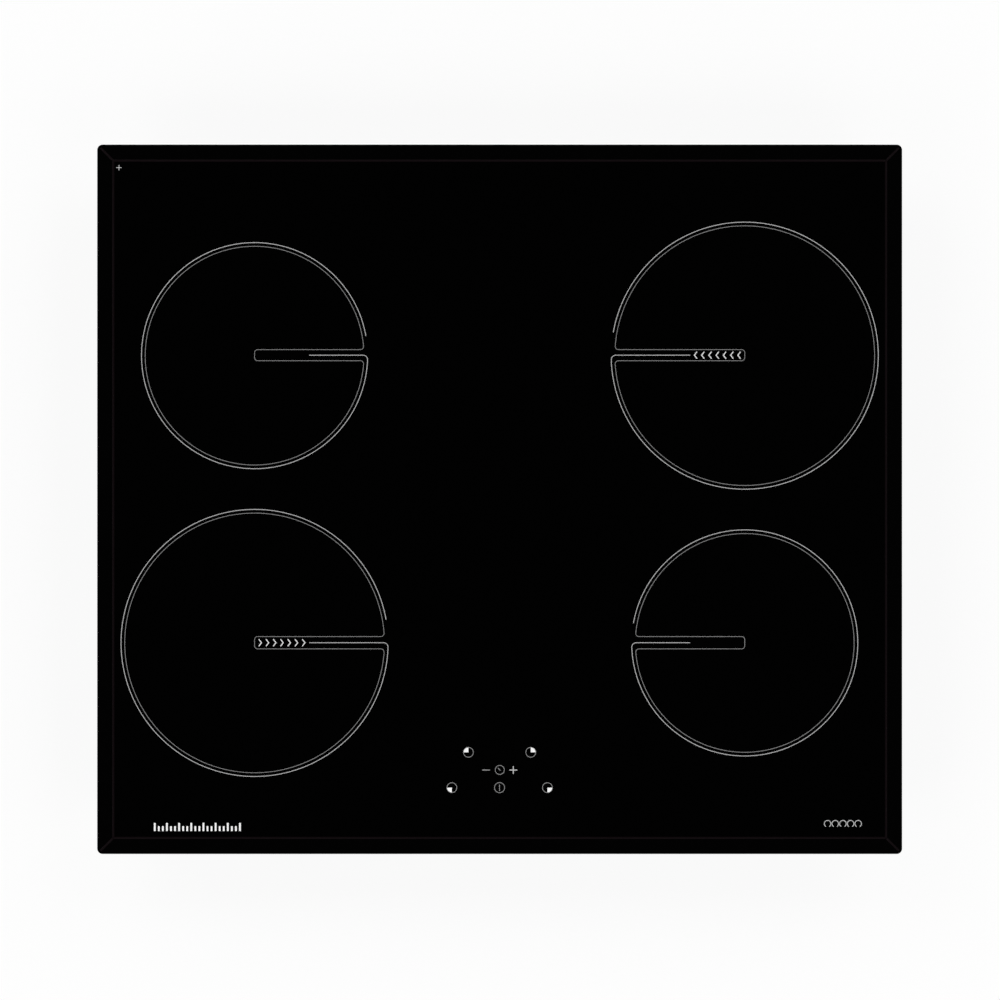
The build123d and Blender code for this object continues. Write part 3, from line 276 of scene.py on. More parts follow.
class HobStage(bpy.types.PropertyGroup):
    """Camera, lamps and floor."""

    distance: length("Camera distance", "From the lens to the glass", 2600)
    view_width: length("View width", "Width of the view at the glass", 732.4)
    lamp_power: bpy.props.FloatProperty(
        name="Lamp power", description="Power of each soft lamp", default=18.0, subtype="POWER",
        unit="POWER",
    )
    lamp_size: length("Lamp size", "Width of each soft lamp", 1500)
    lamp_reach: length("Lamp reach", "From the hob's middle to each lamp", 2200)
    lamp_tilt: angle("Lamp tilt", "From overhead to each lamp", 54)
    floor_gap: length("Floor gap", "From the floor to the lowest point of the hob", 0.5)
    floor_half: length("Floor half", "From the floor's middle to its sides", 4000)
    dim_reach: length("Dim floor", "From the floor's middle to where its glow starts to grow", 450)
    full_reach: length("White floor", "From the floor's middle to where it is all white", 1300)
    dim_glow: share("Dim glow", "Share of glow in what the camera sees of the floor's middle", 0.88)


# ---------------------------------------------------------------- surfaces
def arc(centre, radius, start, end, step=math.radians(1.5)):
    """Points on an arc: the centre plus the radius along evenly spaced angles in radians."""
    angles = np.linspace(start, end, max(3, math.ceil(abs(end - start) / step) + 1))
    return np.asarray(centre) + radius * np.stack([np.cos(angles), np.sin(angles)], axis=1)


def band(rows, sides, closed=False):
    """Faces over a grid of rows of points, each a closed ring. A closed band's last row meets its first.

    The rings run right-handed round the way from the first row to the last, so the faces point out.
    """
    i, j = np.meshgrid(np.arange(rows if closed else rows - 1), np.arange(sides), indexing="ij")
    quads = [(i + a) % rows * sides + (j + b) % sides for a, b in QUAD]
    return np.stack(quads, axis=-1).reshape(-1, 4).tolist()


def ribbon(path, width, low, high, closed=False, fall=None):
    """A line of one width laid along a path, at one low and high level or at those of each point.

    At each path point stand the four corners of a small upright rectangle: the point moved sideways by
    plus or minus half the width, at the low and the high level. Sideways is the sum of the left-hand
    normals of the two neighbouring runs over one plus their dot product, which keeps the width true
    round a mitre. With a fall, the line is bent along its middle, and its left and right sides lie
    lower by those two amounts.
    """
    path = np.asarray(path, float)
    runs = (np.roll(path, -1, axis=0) if closed else path[1:]) - (path if closed else path[:-1])
    runs /= np.linalg.norm(runs, axis=1, keepdims=True)
    normals = np.stack([-runs[:, 1], runs[:, 0]], axis=1)
    if closed:
        before, after = np.roll(normals, 1, axis=0), normals
    else:
        before, after = np.vstack([normals[:1], normals]), np.vstack([normals, normals[-1:]])
    side = (before + after) / (1 + np.sum(before * after, axis=1, keepdims=True)) * width / 2
    low, high = (np.broadcast_to(level, len(path)) for level in (low, high))
    if fall:
        left, right = fall
        section = [(1, high - left), (0, high), (-1, high - right),
                   (-1, low - right), (0, low), (1, low - left)]
    else:
        section = [(1, high), (-1, high), (-1, low), (1, low)]
    grid = np.stack([np.column_stack([path + across * side, z]) for across, z in section], axis=1)
    sides = len(section)
    faces = band(len(path), sides, closed)
    if not closed:
        end = sides * (len(path) - 1)
        faces += [list(range(sides))[::-1], list(range(end, end + sides))]
    return grid.reshape(-1, 3), faces


def plate(outline, low, high):
    """A flat filled shape with upright sides: its outline, anticlockwise from above, at two levels."""
    outline = np.asarray(outline, float)
    size = len(outline)
    points = np.vstack([np.column_stack([outline, np.full(size, z)]) for z in (low, high)])
    return points, [list(range(size))[::-1], list(range(size, 2 * size))] + band(2, size)


def skin(grid, first, last):
    """Faces over rows of points that are closed rings, with a point that closes each end."""
    rows, sides = grid.shape[:2]
    k = np.arange(sides)
    after = (k + 1) % sides
    end = (rows - 1) * sides
    first_cap = np.stack([after, k, np.full(sides, rows * sides)], axis=1)
    last_cap = np.stack([end + k, end + after, np.full(sides, rows * sides + 1)], axis=1)
    faces = band(rows, sides) + first_cap.tolist() + last_cap.tolist()
    return np.vstack([grid.reshape(-1, 3), [first, last]]), faces


def angles_round(sides):
    """The angles of evenly spaced points round a full turn."""
    return np.arange(sides) * 2 * math.pi / sides


def spiral_wire(centre, bore, reach, low, high, wire):
    """A rope-like wire wound flat from the bore out to the reach, between two levels.

    The wire is as thick as the levels are apart, and its middle runs at r = r0 + pitch * t / 2 pi over
    the angle t, where the pitch makes whole turns of no less than the wire's thickness. Round that line
    a ring of points at the angles v lies at the radius a - g * (1 - cos(n * (v - 2 pi s / lay))) / 2,
    where s is the length of wire so far, n the number of bundles, a half the thickness and g the
    grooves' depth.

    Returns the surface and, for each corner of its faces, the length along the wire and the turn round
    it.
    """
    thick = high - low
    turns = math.floor((reach - bore - thick) / thick)
    pitch = (reach - bore - thick) / turns
    rough_length = math.pi * turns * (bore + reach)
    t = np.linspace(0, 2 * math.pi * turns, int(rough_length / wire.step))
    radius = bore + thick / 2 + pitch * t / (2 * math.pi)
    outward = np.stack([np.cos(t), np.sin(t), np.zeros_like(t)], axis=1)
    line = np.append(centre, (low + high) / 2) + radius[:, None] * outward
    along = np.concatenate([[0], np.cumsum(np.linalg.norm(np.diff(line, axis=0), axis=1))])
    sides = 3 * wire.bundles
    v = angles_round(sides)
    dip = (1 - np.cos(wire.bundles * (v[None, :] - 2 * math.pi * along[:, None] / wire.lay))) / 2
    size = thick / 2 - wire.groove * dip
    rings = (line[:, None] + (size * np.cos(v))[..., None] * outward[:, None]
             + (size * np.sin(v))[..., None] * DOWN)
    i, j = np.meshgrid(np.arange(len(t) - 1), np.arange(sides), indexing="ij")
    spots = np.stack([np.stack([along[i + a], (j + b) / sides], axis=-1) for a, b in QUAD], axis=-2)
    cap_spots = np.zeros((2 * sides * 3, 2))
    return skin(rings, line[0], line[-1]), np.vstack([spots.reshape(-1, 2), cap_spots])


def turned(centre, corner, out, levels, radii, last):
    """A form round an axis: its levels along the axis and radii from it, both for each row and angle.

    The angles are counted from the direction of the corner, right-handed round the axis, and the form
    is closed by points on the axis at the first row's level and at the last level.
    """
    v = angles_round(radii.shape[1])
    across = np.cos(v)[:, None] * corner + np.sin(v)[:, None] * np.cross(out, corner)
    grid = centre + radii[..., None] * across + levels[..., None] * out
    return skin(grid, centre + levels[0, 0] * out, centre + last * out)


def soft_step(distance, blur=0.25 * MM):
    """1 well inside a shape, 0 well outside it and a straight slope between, by the distance inside."""
    return np.clip(distance / blur + 0.5, 0, 1)


def hexagon_screw(points, out, sizes):
    """A hexagon screw with a rolled thread and a cross recess, in the place of a plain one.

    points are the plain screw's, and out points from its tip to its head. Along out stand its tip, its
    seat and its top. At the level h and the angle v the shank's radius is the crest less the depth times
    a triangle wave of h / pitch - v / 2 pi, and near the tip it grows from a blunt end by half of its
    size for each pitch. The head's side is at a / cos(v mod 60 - 30), where a is half its width across
    flats, and its top falls by half of what its radius is past 0.95 a, less the recess: a cross with
    sloping walls.
    """
    tip, seat, top = np.unique((points @ out).round(6))[[0, 1, -1]]
    centre = (points.min(axis=0) + points.max(axis=0)) / 2
    centre = centre - (centre @ out) * out
    across = points - centre - np.outer(points @ out, out)
    reach = np.linalg.norm(across, axis=1)
    corner = across[reach.argmax()] / reach.max()
    crest = reach[(points @ out) < tip + 0.1 * MM].max()
    flat = reach.max() * math.cos(math.radians(30))
    sides, rows_a_turn, head_rows, blunt_end = 36, 8, 17, 0.35
    v = angles_round(sides)
    h = np.linspace(tip, seat, int(rows_a_turn * (seat - tip) / sizes.thread_pitch))[:, None]
    wave = np.abs(2 * ((h / sizes.thread_pitch - v / (2 * math.pi)) % 1.0) - 1)
    point = np.clip(blunt_end + (h - tip) / (2 * sizes.thread_pitch), 0, 1)
    shank = (crest - sizes.thread_depth * wave) * point
    side = flat / np.cos(v % math.radians(60) - math.radians(30))
    face = np.linspace(1, 0, head_rows + 1)[:-1, None] * side
    x, y = np.abs(face * np.cos(v)), np.abs(face * np.sin(v))
    recess = (soft_step(sizes.recess_width / 2 - np.minimum(x, y))
              * soft_step(sizes.recess_reach - np.maximum(x, y)))
    crown = top - 0.5 * np.maximum(0, face - 0.95 * flat) - sizes.recess_depth * recess
    levels = np.vstack([np.broadcast_to(h, shank.shape), np.full((1, sides), seat), crown])
    radii = np.vstack([shank, side[None], face])
    return turned(centre, corner, out, levels, radii, top - sizes.recess_depth)


def slotted_head(centre, out, sizes):
    """A cheese head with a slot right across it, standing on the centre.

    The side is a circle's, the edge is drawn in by a tenth of the radius, and the top's level at the
    distance x from the slot's middle is the rise less the slot's depth within its width.
    """
    sides, head_rows = 40, 15
    v = angles_round(sides)
    inward = np.concatenate([[1.0], np.linspace(0.9, 0, head_rows + 1)[:-1]])[:, None]
    face = np.repeat(inward * sizes.terminal_head, sides, axis=1)
    slot = sizes.slot_depth * soft_step(sizes.slot_width / 2 - np.abs(face * np.cos(v)))
    lift = np.where(inward == 1.0, 0.9, 1.0) * sizes.terminal_rise
    levels = np.vstack([np.zeros((1, sides)), lift - slot])
    radii = np.vstack([face[:1], face])
    corner = np.array([math.sqrt(0.5), math.sqrt(0.5), 0.0])
    return turned(centre, corner, out, levels, radii, sizes.terminal_rise - sizes.slot_depth)


def joined(parts):
    """Several surfaces as one: their points stacked, and each one's faces counted on from the last."""
    points, faces, base = [], [], 0
    for part_points, part_faces in parts:
        points.append(part_points)
        faces += [[i + base for i in face] for face in part_faces]
        base += len(part_points)
    return np.vstack(points), faces


def new_object(name, data):
    """A new object in the scene."""
    made = bpy.data.objects.new(name, data)
    bpy.context.scene.collection.objects.link(made)
    return made


def new_piece(name, surface, material, spots=None):
    """Puts a surface into a new object that rides on the hob.

    Spots are places on the surface for a pattern that follows it, one for each corner of its faces, and
    a surface that has them is shaded smooth.
    """
    points, faces = surface
    mesh = bpy.data.meshes.new(name)
    mesh.from_pydata(points.tolist(), [], faces)
    if spots is not None:
        mesh.uv_layers.new(name="wire").data.foreach_set("uv", spots.ravel())
        mesh.polygons.foreach_set("use_smooth", np.full(len(faces), True))
    mesh.update()
    mesh.materials.append(material)
    piece = new_object(name, mesh)
    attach(piece, "hob")
    return piece


# ---------------------------------------------------------------- materials
# What the numbers of inputs mean. Map Range: 0 the value, 1 and 2 its old range, 3 and 4 its new one.
# Mapping: 0 the place, 2 the turn, 3 the scale. A mix of colours: 0 the factor, 6 and 7 the colours. Its
# output is number 2.
COLOURS = {"data_type": "RGBA", "out": 2}

# How far a grained finish gets smoother and rougher than its mean.
ROUGHNESS_SPREAD = 0.08


def add_node(tree, kind, inputs=None, out=0, **settings):
    """Adds a node of one kind with its settings, and sets or links the inputs that are named.

    It gives back the output with the name or number in out, or all outputs where out is None.
    """
    made = tree.nodes.new("ShaderNode" + kind)
    for key, value in settings.items():
        setattr(made, key, value)
    for key, value in (inputs or {}).items():
        if isinstance(value, bpy.types.NodeSocket):
            tree.links.new(value, made.inputs[key])
        else:
            made.inputs[key].default_value = value
    return made.outputs if out is None else made.outputs[out]


def new_material(name, uv_map=None, **sockets):
    """A material, with the named sockets of its Principled shader set to plain values.

    It gives back the material, its nodes and the place that its patterns read, which is on the object
    itself or on one of its UV maps.
    """
    material = bpy.data.materials.new(name)
    material.use_nodes = True
    tree = material.node_tree
    for key, value in sockets.items():
        tree.nodes["Principled BSDF"].inputs[key.replace("_", " ")].default_value = value
    if uv_map:
        return material, tree, add_node(tree, "UVMap", uv_map=uv_map)
    return material, tree, add_node(tree, "TexCoord", out="Object")


def finished(material, relief, depth, tint=None, roughness=None, edge=0, invert=False):
    """Links a material's patterns to its shader: a relief of some depth, a colour and a roughness.

    The depth is in millimetres, and so is the edge: the radius over which the surface's direction turns
    gradually at its sharp edges.
    """
    tree = material.node_tree
    inputs = {"Height": relief, "Distance": depth * MM}
    if edge:
        inputs["Normal"] = add_node(tree, "Bevel", {"Radius": edge * MM}, samples=4)
    patterns = {"Normal": add_node(tree, "Bump", inputs, invert=invert), "Base Color": tint,
                "Roughness": roughness}
    for key, pattern in patterns.items():
        if pattern is not None:
            tree.links.new(pattern, tree.nodes["Principled BSDF"].inputs[key])
    return material


def shade(base, factor):
    """A linear colour with each channel times a factor, as red, green, blue and alpha."""
    return tuple(min(1.0, channel * factor) for channel in base) + (1.0,)


def grained(name, base, roughness, grain, depth, spread=0.12, stretch=(1, 1, 1), edge=0.4, **sockets):
    """A finish with grain: one noise in object space moves the colour, the roughness and the relief.

    grain is the size of one grain, depth its relief and edge the radius of its parts' edges, all in
    millimetres, and stretch divides the pattern's fineness along an axis, as rolling and extruding do.
    spread is the change of colour.
    """
    material, tree, place = new_material(name, **sockets)
    scaled = add_node(tree, "Mapping", {0: place, 3: tuple(1 / s for s in stretch)})
    noise = add_node(tree, "TexNoise", {"Vector": scaled, "Scale": 1 / (grain * MM), "Detail": 3.0,
                                        "Roughness": 0.6})
    tint = add_node(tree, "Mix", {0: noise, 6: shade(base, 1 - spread), 7: shade(base, 1 + spread)},
                    **COLOURS)
    rough = add_node(tree, "MapRange", {0: noise, 3: roughness - ROUGHNESS_SPREAD,
                                        4: roughness + ROUGHNESS_SPREAD})
    return finished(material, noise, depth, tint, rough, edge)


def glass_ceramic(base):
    """Lithium aluminosilicate glass-ceramic, black all through, rolled and then polished.

    It gives the eye a deep black with a clean mirror over it. A very slow wave, 45 mm long and a few
    hundredths of a millimetre deep, is what rolling leaves, and wiping leaves faint smears.
    """
    material, tree, place = new_material("polished black glass-ceramic", IOR=1.53,
                                         Base_Color=shade(base, 1.0))
    smear = add_node(tree, "TexNoise", {"Vector": place, "Scale": 1 / (60 * MM), "Detail": 5.0,
                                        "Roughness": 0.7})
    rough = add_node(tree, "MapRange", {0: smear, 1: 0.3, 2: 0.75, 3: 0.012, 4: 0.05})
    wave = add_node(tree, "TexNoise", {"Vector": place, "Scale": 1 / (45 * MM), "Detail": 0.0})
    return finished(material, wave, 0.02, roughness=rough, edge=0.5)


def fired_enamel(name, base):
    """Ceramic enamel, screen-printed and fired into the glass: matt, with the screen's unevenness."""
    return grained(name, base, roughness=0.5, grain=0.5, depth=0.004, spread=0.08, edge=0, IOR=1.52)


def galvanised_steel(base):
    """Hot-dip galvanised sheet: frost-like zinc crystals about 9 mm across, each a little lighter or
    darker and more or less matt than the next, under fine rolling lines."""
    material, tree, place = new_material("hot-dip galvanised steel", Metallic=1.0)
    warp = add_node(tree, "TexNoise", {"Vector": place, "Scale": 1 / (5 * MM)}, out="Color")
    bent = add_node(tree, "VectorMath", {0: warp, 1: (2.4 * MM,) * 3}, operation="MULTIPLY")
    spot = add_node(tree, "VectorMath", {0: place, 1: bent}, operation="ADD")
    crystal = add_node(tree, "TexVoronoi", {"Vector": spot, "Scale": 1 / (9 * MM)}, out="Color")
    # Each crystal has three values of its own.
    first, second, third = add_node(tree, "SeparateColor", {0: crystal}, out=None)
    lines = add_node(tree, "Mapping", {0: place, 3: (0.05, 1.0, 1.0)})
    rolled = add_node(tree, "TexNoise", {"Vector": lines, "Scale": 1 / (0.8 * MM), "Detail": 2.0})
    tint = add_node(tree, "Mix", {0: first, 6: shade(base, 0.86), 7: shade(base, 1.06)}, **COLOURS)
    rough = add_node(tree, "MapRange", {0: second, 3: 0.34, 4: 0.5})
    relief = add_node(tree, "Math", {0: third, 1: rolled}, operation="ADD")
    return finished(material, relief, 0.01, tint, rough, edge=0.4)


def cell_foam(name, base, cell):
    """Closed-cell foam: a skin of small round cells, fully matt. Each cell is paler at its raised middle
    and darker towards its sunken rim, as painted shade.
    """
    material, tree, place = new_material(name, Roughness=0.92, IOR=1.45)
    cells = add_node(tree, "TexVoronoi", {"Vector": place, "Scale": 1 / (cell * MM)}, out="Distance",
                     feature="SMOOTH_F1")
    # Painted shade: the colour goes from paler at the cells' middles to darker in the grooves at their
    # rims.
    tint = add_node(tree, "Mix", {0: cells, 6: shade(base, 1.25), 7: shade(base, 0.6)}, **COLOURS)
    return finished(material, cells, 0.15, tint, invert=True)


def litz_wire(base):
    """Litz wire: fine copper strands in a clear amber enamel, laid in bundles.

    It gives the eye a brown copper sheen broken up by hair-fine slanting lines, 0.3 mm apart: the
    grooves between strands, where the colour is darkened as painted shade.
    """
    material, tree, place = new_material("enamelled litz copper", "wire", Metallic=0.8, Coat_Weight=0.3)
    # Along the wire one unit is a metre, and round it one unit is a full turn, about 11 mm.
    metres = add_node(tree, "Mapping", {0: place, 3: (1.0, 0.011, 1.0)})
    slant = add_node(tree, "Mapping", {0: metres, 2: (0.0, 0.0, math.radians(62))})
    # At a scale of 1 the waves are 0.314 apart.
    strands = add_node(tree, "TexWave", {"Vector": slant, "Scale": 0.314 / (0.3 * MM), "Distortion": 1.5,
                                         "Detail": 2.0}, out="Fac")
    # Painted shade: the colour darkens to under half in the grooves between the strands.
    tint = add_node(tree, "Mix", {0: strands, 6: shade(base, 0.45), 7: shade(base, 1.15)}, **COLOURS)
    rough = add_node(tree, "MapRange", {0: strands, 3: 0.5, 4: 0.3})
    return finished(material, strands, 0.05, tint, rough)


def circuit_board(base):
    """Glass-epoxy board under green solder mask: copper tracks 1.5 mm wide show through as a paler
    green, in runs of straight lines, over a faint weave."""
    material, tree, place = new_material("glass-epoxy circuit board", Roughness=0.35, IOR=1.5)
    tint, tracks = add_node(tree, "TexBrick", {
        "Vector": place, "Scale": 1 / (8 * MM), "Mortar Size": 0.12, "Mortar Smooth": 0.1,
        "Brick Width": 1.7, "Row Height": 0.5, "Color1": shade(base, 0.9), "Color2": shade(base, 1.0),
        "Mortar": shade(base, 1.7)}, out=None)
    weave = add_node(tree, "TexChecker", {"Vector": place, "Scale": 1 / (0.8 * MM)}, out="Fac")
    relief = add_node(tree, "Math", {0: tracks, 1: weave}, operation="ADD")
    return finished(material, relief, 0.03, tint)


def lead_insulation():
    """Extruded PVC insulation: brown on the left lead, blue on the middle one, and green with yellow
    bands 6 mm long on the right one, each with the die's slight ripple along it."""
    material, tree, place = new_material("extruded PVC insulation", Roughness=0.35, IOR=1.53)
    brown, blue, green, yellow = ((*linear(code), 1.0)
                                  for code in ("#5A3A24", "#2C5FA8", "#2E7D3C", "#D9C22E"))
    low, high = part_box("mains_leads")
    third, stripe = (high.x - low.x) / 3, 6 * MM
    x, y, _ = add_node(tree, "SeparateXYZ", {0: place}, out=None)
    along = add_node(tree, "Math", {0: y, 1: 2 * stripe}, operation="FLOORED_MODULO")
    banded = add_node(tree, "Math", {0: along, 1: stripe}, operation="LESS_THAN")
    earth = add_node(tree, "Mix", {0: banded, 6: green, 7: yellow}, **COLOURS)
    right = add_node(tree, "Math", {0: x, 1: third / 2}, operation="GREATER_THAN")
    left = add_node(tree, "Math", {0: x, 1: -third / 2}, operation="LESS_THAN")
    others = add_node(tree, "Mix", {0: right, 6: blue, 7: earth}, **COLOURS)
    tint = add_node(tree, "Mix", {0: left, 6: others, 7: brown}, **COLOURS)
    ripple = add_node(tree, "TexNoise", {"Vector": place, "Scale": 1 / (2 * MM)})
    return finished(material, ripple, 0.02, tint)


def paint(material, *starts):
    """Gives a material to every node whose name begins with one of the words."""
    found = [node for name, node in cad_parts.items() if name.startswith(starts)]
    if not found:
        raise RuntimeError(f"no node begins with {starts}")
    for node in found:
        if not node.material_slots:
            node.data.materials.append(material)
        for place in node.material_slots:
            place.material = material


# ---------------------------------------------------------------- operators: the glass
class HOB_OT_glass(bpy.types.Operator):
    """Finishes the glass-ceramic top"""

    bl_idname = "hob.glass"
    bl_label = "Glass"

    def execute(self, context):
        paint(glass_ceramic(context.scene.hob_finish.glass), "glass_top")
        return {"FINISHED"}


class HOB_OT_bevel_lines(bpy.types.Operator):
    """Draws painted highlight lines where the ground bevels meet the face and each other"""

    bl_idname = "hob.bevel_lines"
    bl_label = "Bevel edges"

    def execute(self, context):
        sizes = context.scene.hob_print
        # The face is the highest part of the glass, and a mitre runs down from each of its corners.
        points = node_points("glass_top")
        face = points[points[:, 2] > GLASS_TOP - 0.01 * MM, :2].max(axis=0)
        reach = GLASS_HALF - face
        drop = GLASS_TOP - np.unique(points[:, 2].round(5))[-2]
        width = sizes.edge_width
        low, high = GLASS_TOP - sizes.edge_sink, GLASS_TOP + sizes.edge_rise
        # How far the bevel falls over half of a line's width, straight out and across a mitre.
        fall = drop / reach[0] * width / 2
        lines = [ribbon(CORNERS * face, width, low, high, closed=True, fall=(0, fall))]
        levels = np.array([0.0, -sizes.edge_share * drop])
        for corner in CORNERS:
            path = np.array([corner * face, corner * (face + sizes.edge_share * reach)])
            lines.append(ribbon(path, width, low + levels, high + levels,
                                fall=(fall / math.sqrt(2), fall / math.sqrt(2))))
        # Glass-ceramic ground with diamond wheels; the line's dark reddish colour is a painted highlight
        # for a faint reflection along the edges.
        ground = grained("painted bevel highlight", context.scene.hob_finish.bevel_highlight, roughness=0.35,
                         grain=0.4, depth=0.002, edge=0, IOR=1.53)
        new_piece("painted_bevel_highlights", joined(lines), ground)
        return {"FINISHED"}


def print_levels(sizes):
    """The levels of the print's underside and top."""
    low = GLASS_TOP - sizes.sink
    return low, low + sizes.film


def in_zone(zone, path):
    """A path drawn round a zone's middle with its tongue along X, in its place on the glass.

    The tongues run towards the middle of the glass, so the paths of the right-hand zones are mirrored.
    """
    centre = middle(f"coil_winding_{zone}")
    return centre + np.asarray(path) * np.array([-math.copysign(1, centre[0]), 1.0])


class HOB_OT_zone_lines(bpy.types.Operator):
    """Prints the two lines of each cooking zone"""

    bl_idname = "hob.zone_lines"
    bl_label = "Zone lines"

    def execute(self, context):
        sizes = context.scene.hob_print
        bright = fired_enamel("fired grey enamel", sizes.outer_colour)
        faint = fired_enamel("fired dark grey enamel", sizes.inner_colour)
        low, high = print_levels(sizes)
        for zone, (large, front, rear) in ZONES.items():
            radius = sizes.large_ring if large else sizes.small_ring
            outer = self.outer_path(sizes, radius, (front + rear) / 2 * MM)
            inner = self.inner_path(sizes, radius - sizes.ring_gap, front * MM, rear * MM)
            outer = ribbon(in_zone(zone, outer), sizes.outer_width, low, high)
            inner = ribbon(in_zone(zone, inner), sizes.inner_width, low, high, closed=True)
            new_piece(f"zone_outer_line_{zone}", outer, bright)
            new_piece(f"zone_inner_line_{zone}", inner, faint)
        return {"FINISHED"}

    def outer_path(self, sizes, radius, level):
        """Round the ring from its free end, and then in along the tongue's middle.

        The turn touches the ring from inside and the middle line from the front, so its own middle
        lies one turn radius inside the ring and one in front of the line.
        """
        turn = sizes.outer_turn
        y = level - turn
        x = math.sqrt((radius - turn) ** 2 - y**2)
        meet = math.atan2(y, x)
        return np.vstack([
            arc((0, 0), radius, sizes.free_angle, meet + 2 * math.pi),
            arc((x, y), turn, meet, math.pi / 2, FINE_STEP)[1:],
            [(sizes.stem_start, level)],
        ])

    def inner_path(self, sizes, radius, front, rear):
        """Round the ring from the tongue's rear edge to its front one, and round the tongue."""
        turn, end = sizes.inner_turn, sizes.tongue_end
        front_x, rear_x = (math.sqrt((radius - turn) ** 2 - y**2) for y in (front - turn, rear + turn))
        front_meet = math.atan2(front - turn, front_x)
        rear_meet = math.atan2(rear + turn, rear_x)
        return np.vstack([
            arc((0, 0), radius, rear_meet, front_meet + 2 * math.pi),
            arc((front_x, front - turn), turn, front_meet, math.pi / 2, FINE_STEP)[1:],
            arc((end, front + end), end, -math.pi / 2, -math.pi, FINE_STEP),
            arc((end, rear - end), end, math.pi, math.pi / 2, FINE_STEP),
            arc((rear_x, rear + turn), turn, -math.pi / 2, rear_meet, FINE_STEP)[:-1],
        ])


class HOB_OT_zone_marks(bpy.types.Operator):
    """Prints a row of chevrons in the tongue of each large zone"""

    bl_idname = "hob.zone_marks"
    bl_label = "Zone marks"

    def execute(self, context):
        sizes = context.scene.hob_print
        enamel = fired_enamel("fired pale grey enamel", sizes.chevron_colour)
        low, high = print_levels(sizes)
        half, depth = sizes.chevron_height / 2, sizes.chevron_depth
        starts = np.linspace(sizes.chevron_start, sizes.chevron_end - depth, sizes.chevron_count)
        for zone, (large, front, rear) in ZONES.items():
            if not large:
                continue
            level = (front + rear) / 2 * MM
            chevrons = [
                ribbon(in_zone(zone, [(x, level + half), (x + depth, level), (x, level - half)]),
                       sizes.chevron_stroke, low, high)
                for x in starts
            ]
            new_piece(f"zone_chevrons_{zone}", joined(chevrons), enamel)
        return {"FINISHED"}


def ring(centre, radius, width, low, high):
    """A printed circle."""
    return ribbon(arc(centre, radius, 0, 2 * math.pi, FINE_STEP)[:-1], width, low, high, closed=True)


def cross(centre, reach, width, low, high):
    """A printed plus sign, as one bar across and a short one on either side of it."""
    bars = [[(-reach, 0), (reach, 0)], [(0, width / 2), (0, reach)], [(0, -reach), (0, -width / 2)]]
    return joined([ribbon(centre + np.array(bar), width, low, high) for bar in bars])


class HOB_OT_key_symbols(bpy.types.Operator):
    """Prints the touch keys: four zone keys, the timer, minus, plus and the main switch"""

    bl_idname = "hob.key_symbols"
    bl_label = "Key symbols"

    def execute(self, context):
        sizes = context.scene.hob_print
        grey = fired_enamel("fired key enamel", sizes.key_colour)
        pale = fired_enamel("fired sign enamel", sizes.mark_colour)
        white = fired_enamel("fired white enamel", sizes.white_colour)
        low, high = print_levels(sizes)
        line = sizes.key_line
        board = middle("control_board")
        for zone, (x, y, start) in ZONE_KEYS.items():
            centre = board + np.array([x, y]) * MM
            new_piece(f"key_ring_{zone}", ring(centre, sizes.key_radius, line, low, high), grey)
            start = math.radians(start)
            rim = arc(centre, sizes.key_radius - line / 2, start, start + math.pi / 2, FINE_STEP)
            quarter = plate(np.vstack([[centre], rim]), low, high)
            new_piece(f"key_quarter_{zone}", quarter, white)
        for name, place, radius, stroke in (
            ("key_timer", TIMER_KEY, sizes.timer_radius, TIMER_HAND),
            ("key_switch", SWITCH_KEY, sizes.switch_radius, SWITCH_BAR),
        ):
            centre = board + np.array(place) * MM
            stroke = ribbon(centre + np.array(stroke) * radius, BOLDER * line, low, high)
            new_piece(name, joined([ring(centre, radius, line, low, high), stroke]), grey)
        minus, plus = (board + np.array(place) * MM for place in (MINUS_KEY, PLUS_KEY))
        dash = minus + np.array([(-1, 0), (1, 0)]) * sizes.sign_reach
        new_piece("key_minus", ribbon(dash, sizes.sign_line, low, high), grey)
        new_piece("key_plus", cross(plus, sizes.sign_reach, sizes.sign_line, low, high), pale)
        return {"FINISHED"}


class HOB_OT_corner_marks(bpy.types.Operator):
    """Prints plain marks in three corners: a scale, a row of coil loops and a small cross"""

    bl_idname = "hob.corner_marks"
    bl_label = "Corner marks"

    def execute(self, context):
        sizes = context.scene.hob_print
        white = fired_enamel("fired scale enamel", sizes.white_colour)
        pale = fired_enamel("fired mark enamel", sizes.mark_colour)
        low, high = print_levels(sizes)
        side, rear = GLASS_HALF
        foot = sizes.scale_rise - rear
        first = sizes.scale_inset - side
        ticks = []
        for i, x in enumerate(np.linspace(first, first + sizes.scale_length, sizes.tick_count)):
            height = sizes.tick_height * (sizes.short_tick if i % TALL_EVERY else 1.0)
            ticks.append(ribbon([(x, foot), (x, foot + height)], sizes.tick_width, low, high))
        new_piece("corner_scale", joined(ticks), white)
        last = np.array([side - sizes.loops_inset - sizes.loop_radius, sizes.loops_rise - rear])
        loops = [
            ribbon(arc(last - (i * sizes.loop_pitch, 0), sizes.loop_radius, *LOOP_ENDS, FINE_STEP),
                   sizes.mark_line, low, high)
            for i in range(sizes.loop_count)
        ]
        new_piece("corner_loops", joined(loops), pale)
        centre = np.array([sizes.cross_side - side, rear - sizes.cross_rear])
        new_piece("corner_cross", cross(centre, sizes.cross_reach, sizes.mark_line, low, high), pale)
        return {"FINISHED"}


# ---------------------------------------------------------------- operators: finishes of the parts
class HOB_OT_case(bpy.types.Operator):
    """Finishes the case, the frame, the clamps and the seals"""

    bl_idname = "hob.case"
    bl_label = "Case and clamps"

    def execute(self, context):
        colours = context.scene.hob_finish
        paint(galvanised_steel(colours.steel), "bottom_case", "glass_frame", "worktop_clamp")
        paint(cell_foam("closed-cell polyethylene foam", linear("#1C1C1D"), 0.9), "worktop_seal")
        # Silicone squeezed from a nozzle and cured: rubbery black with a soft shine.
        paint(grained("cured silicone", linear("#161617"), 0.45, grain=6, depth=0.08, IOR=1.41),
              "glass_adhesive")
        return {"FINISHED"}


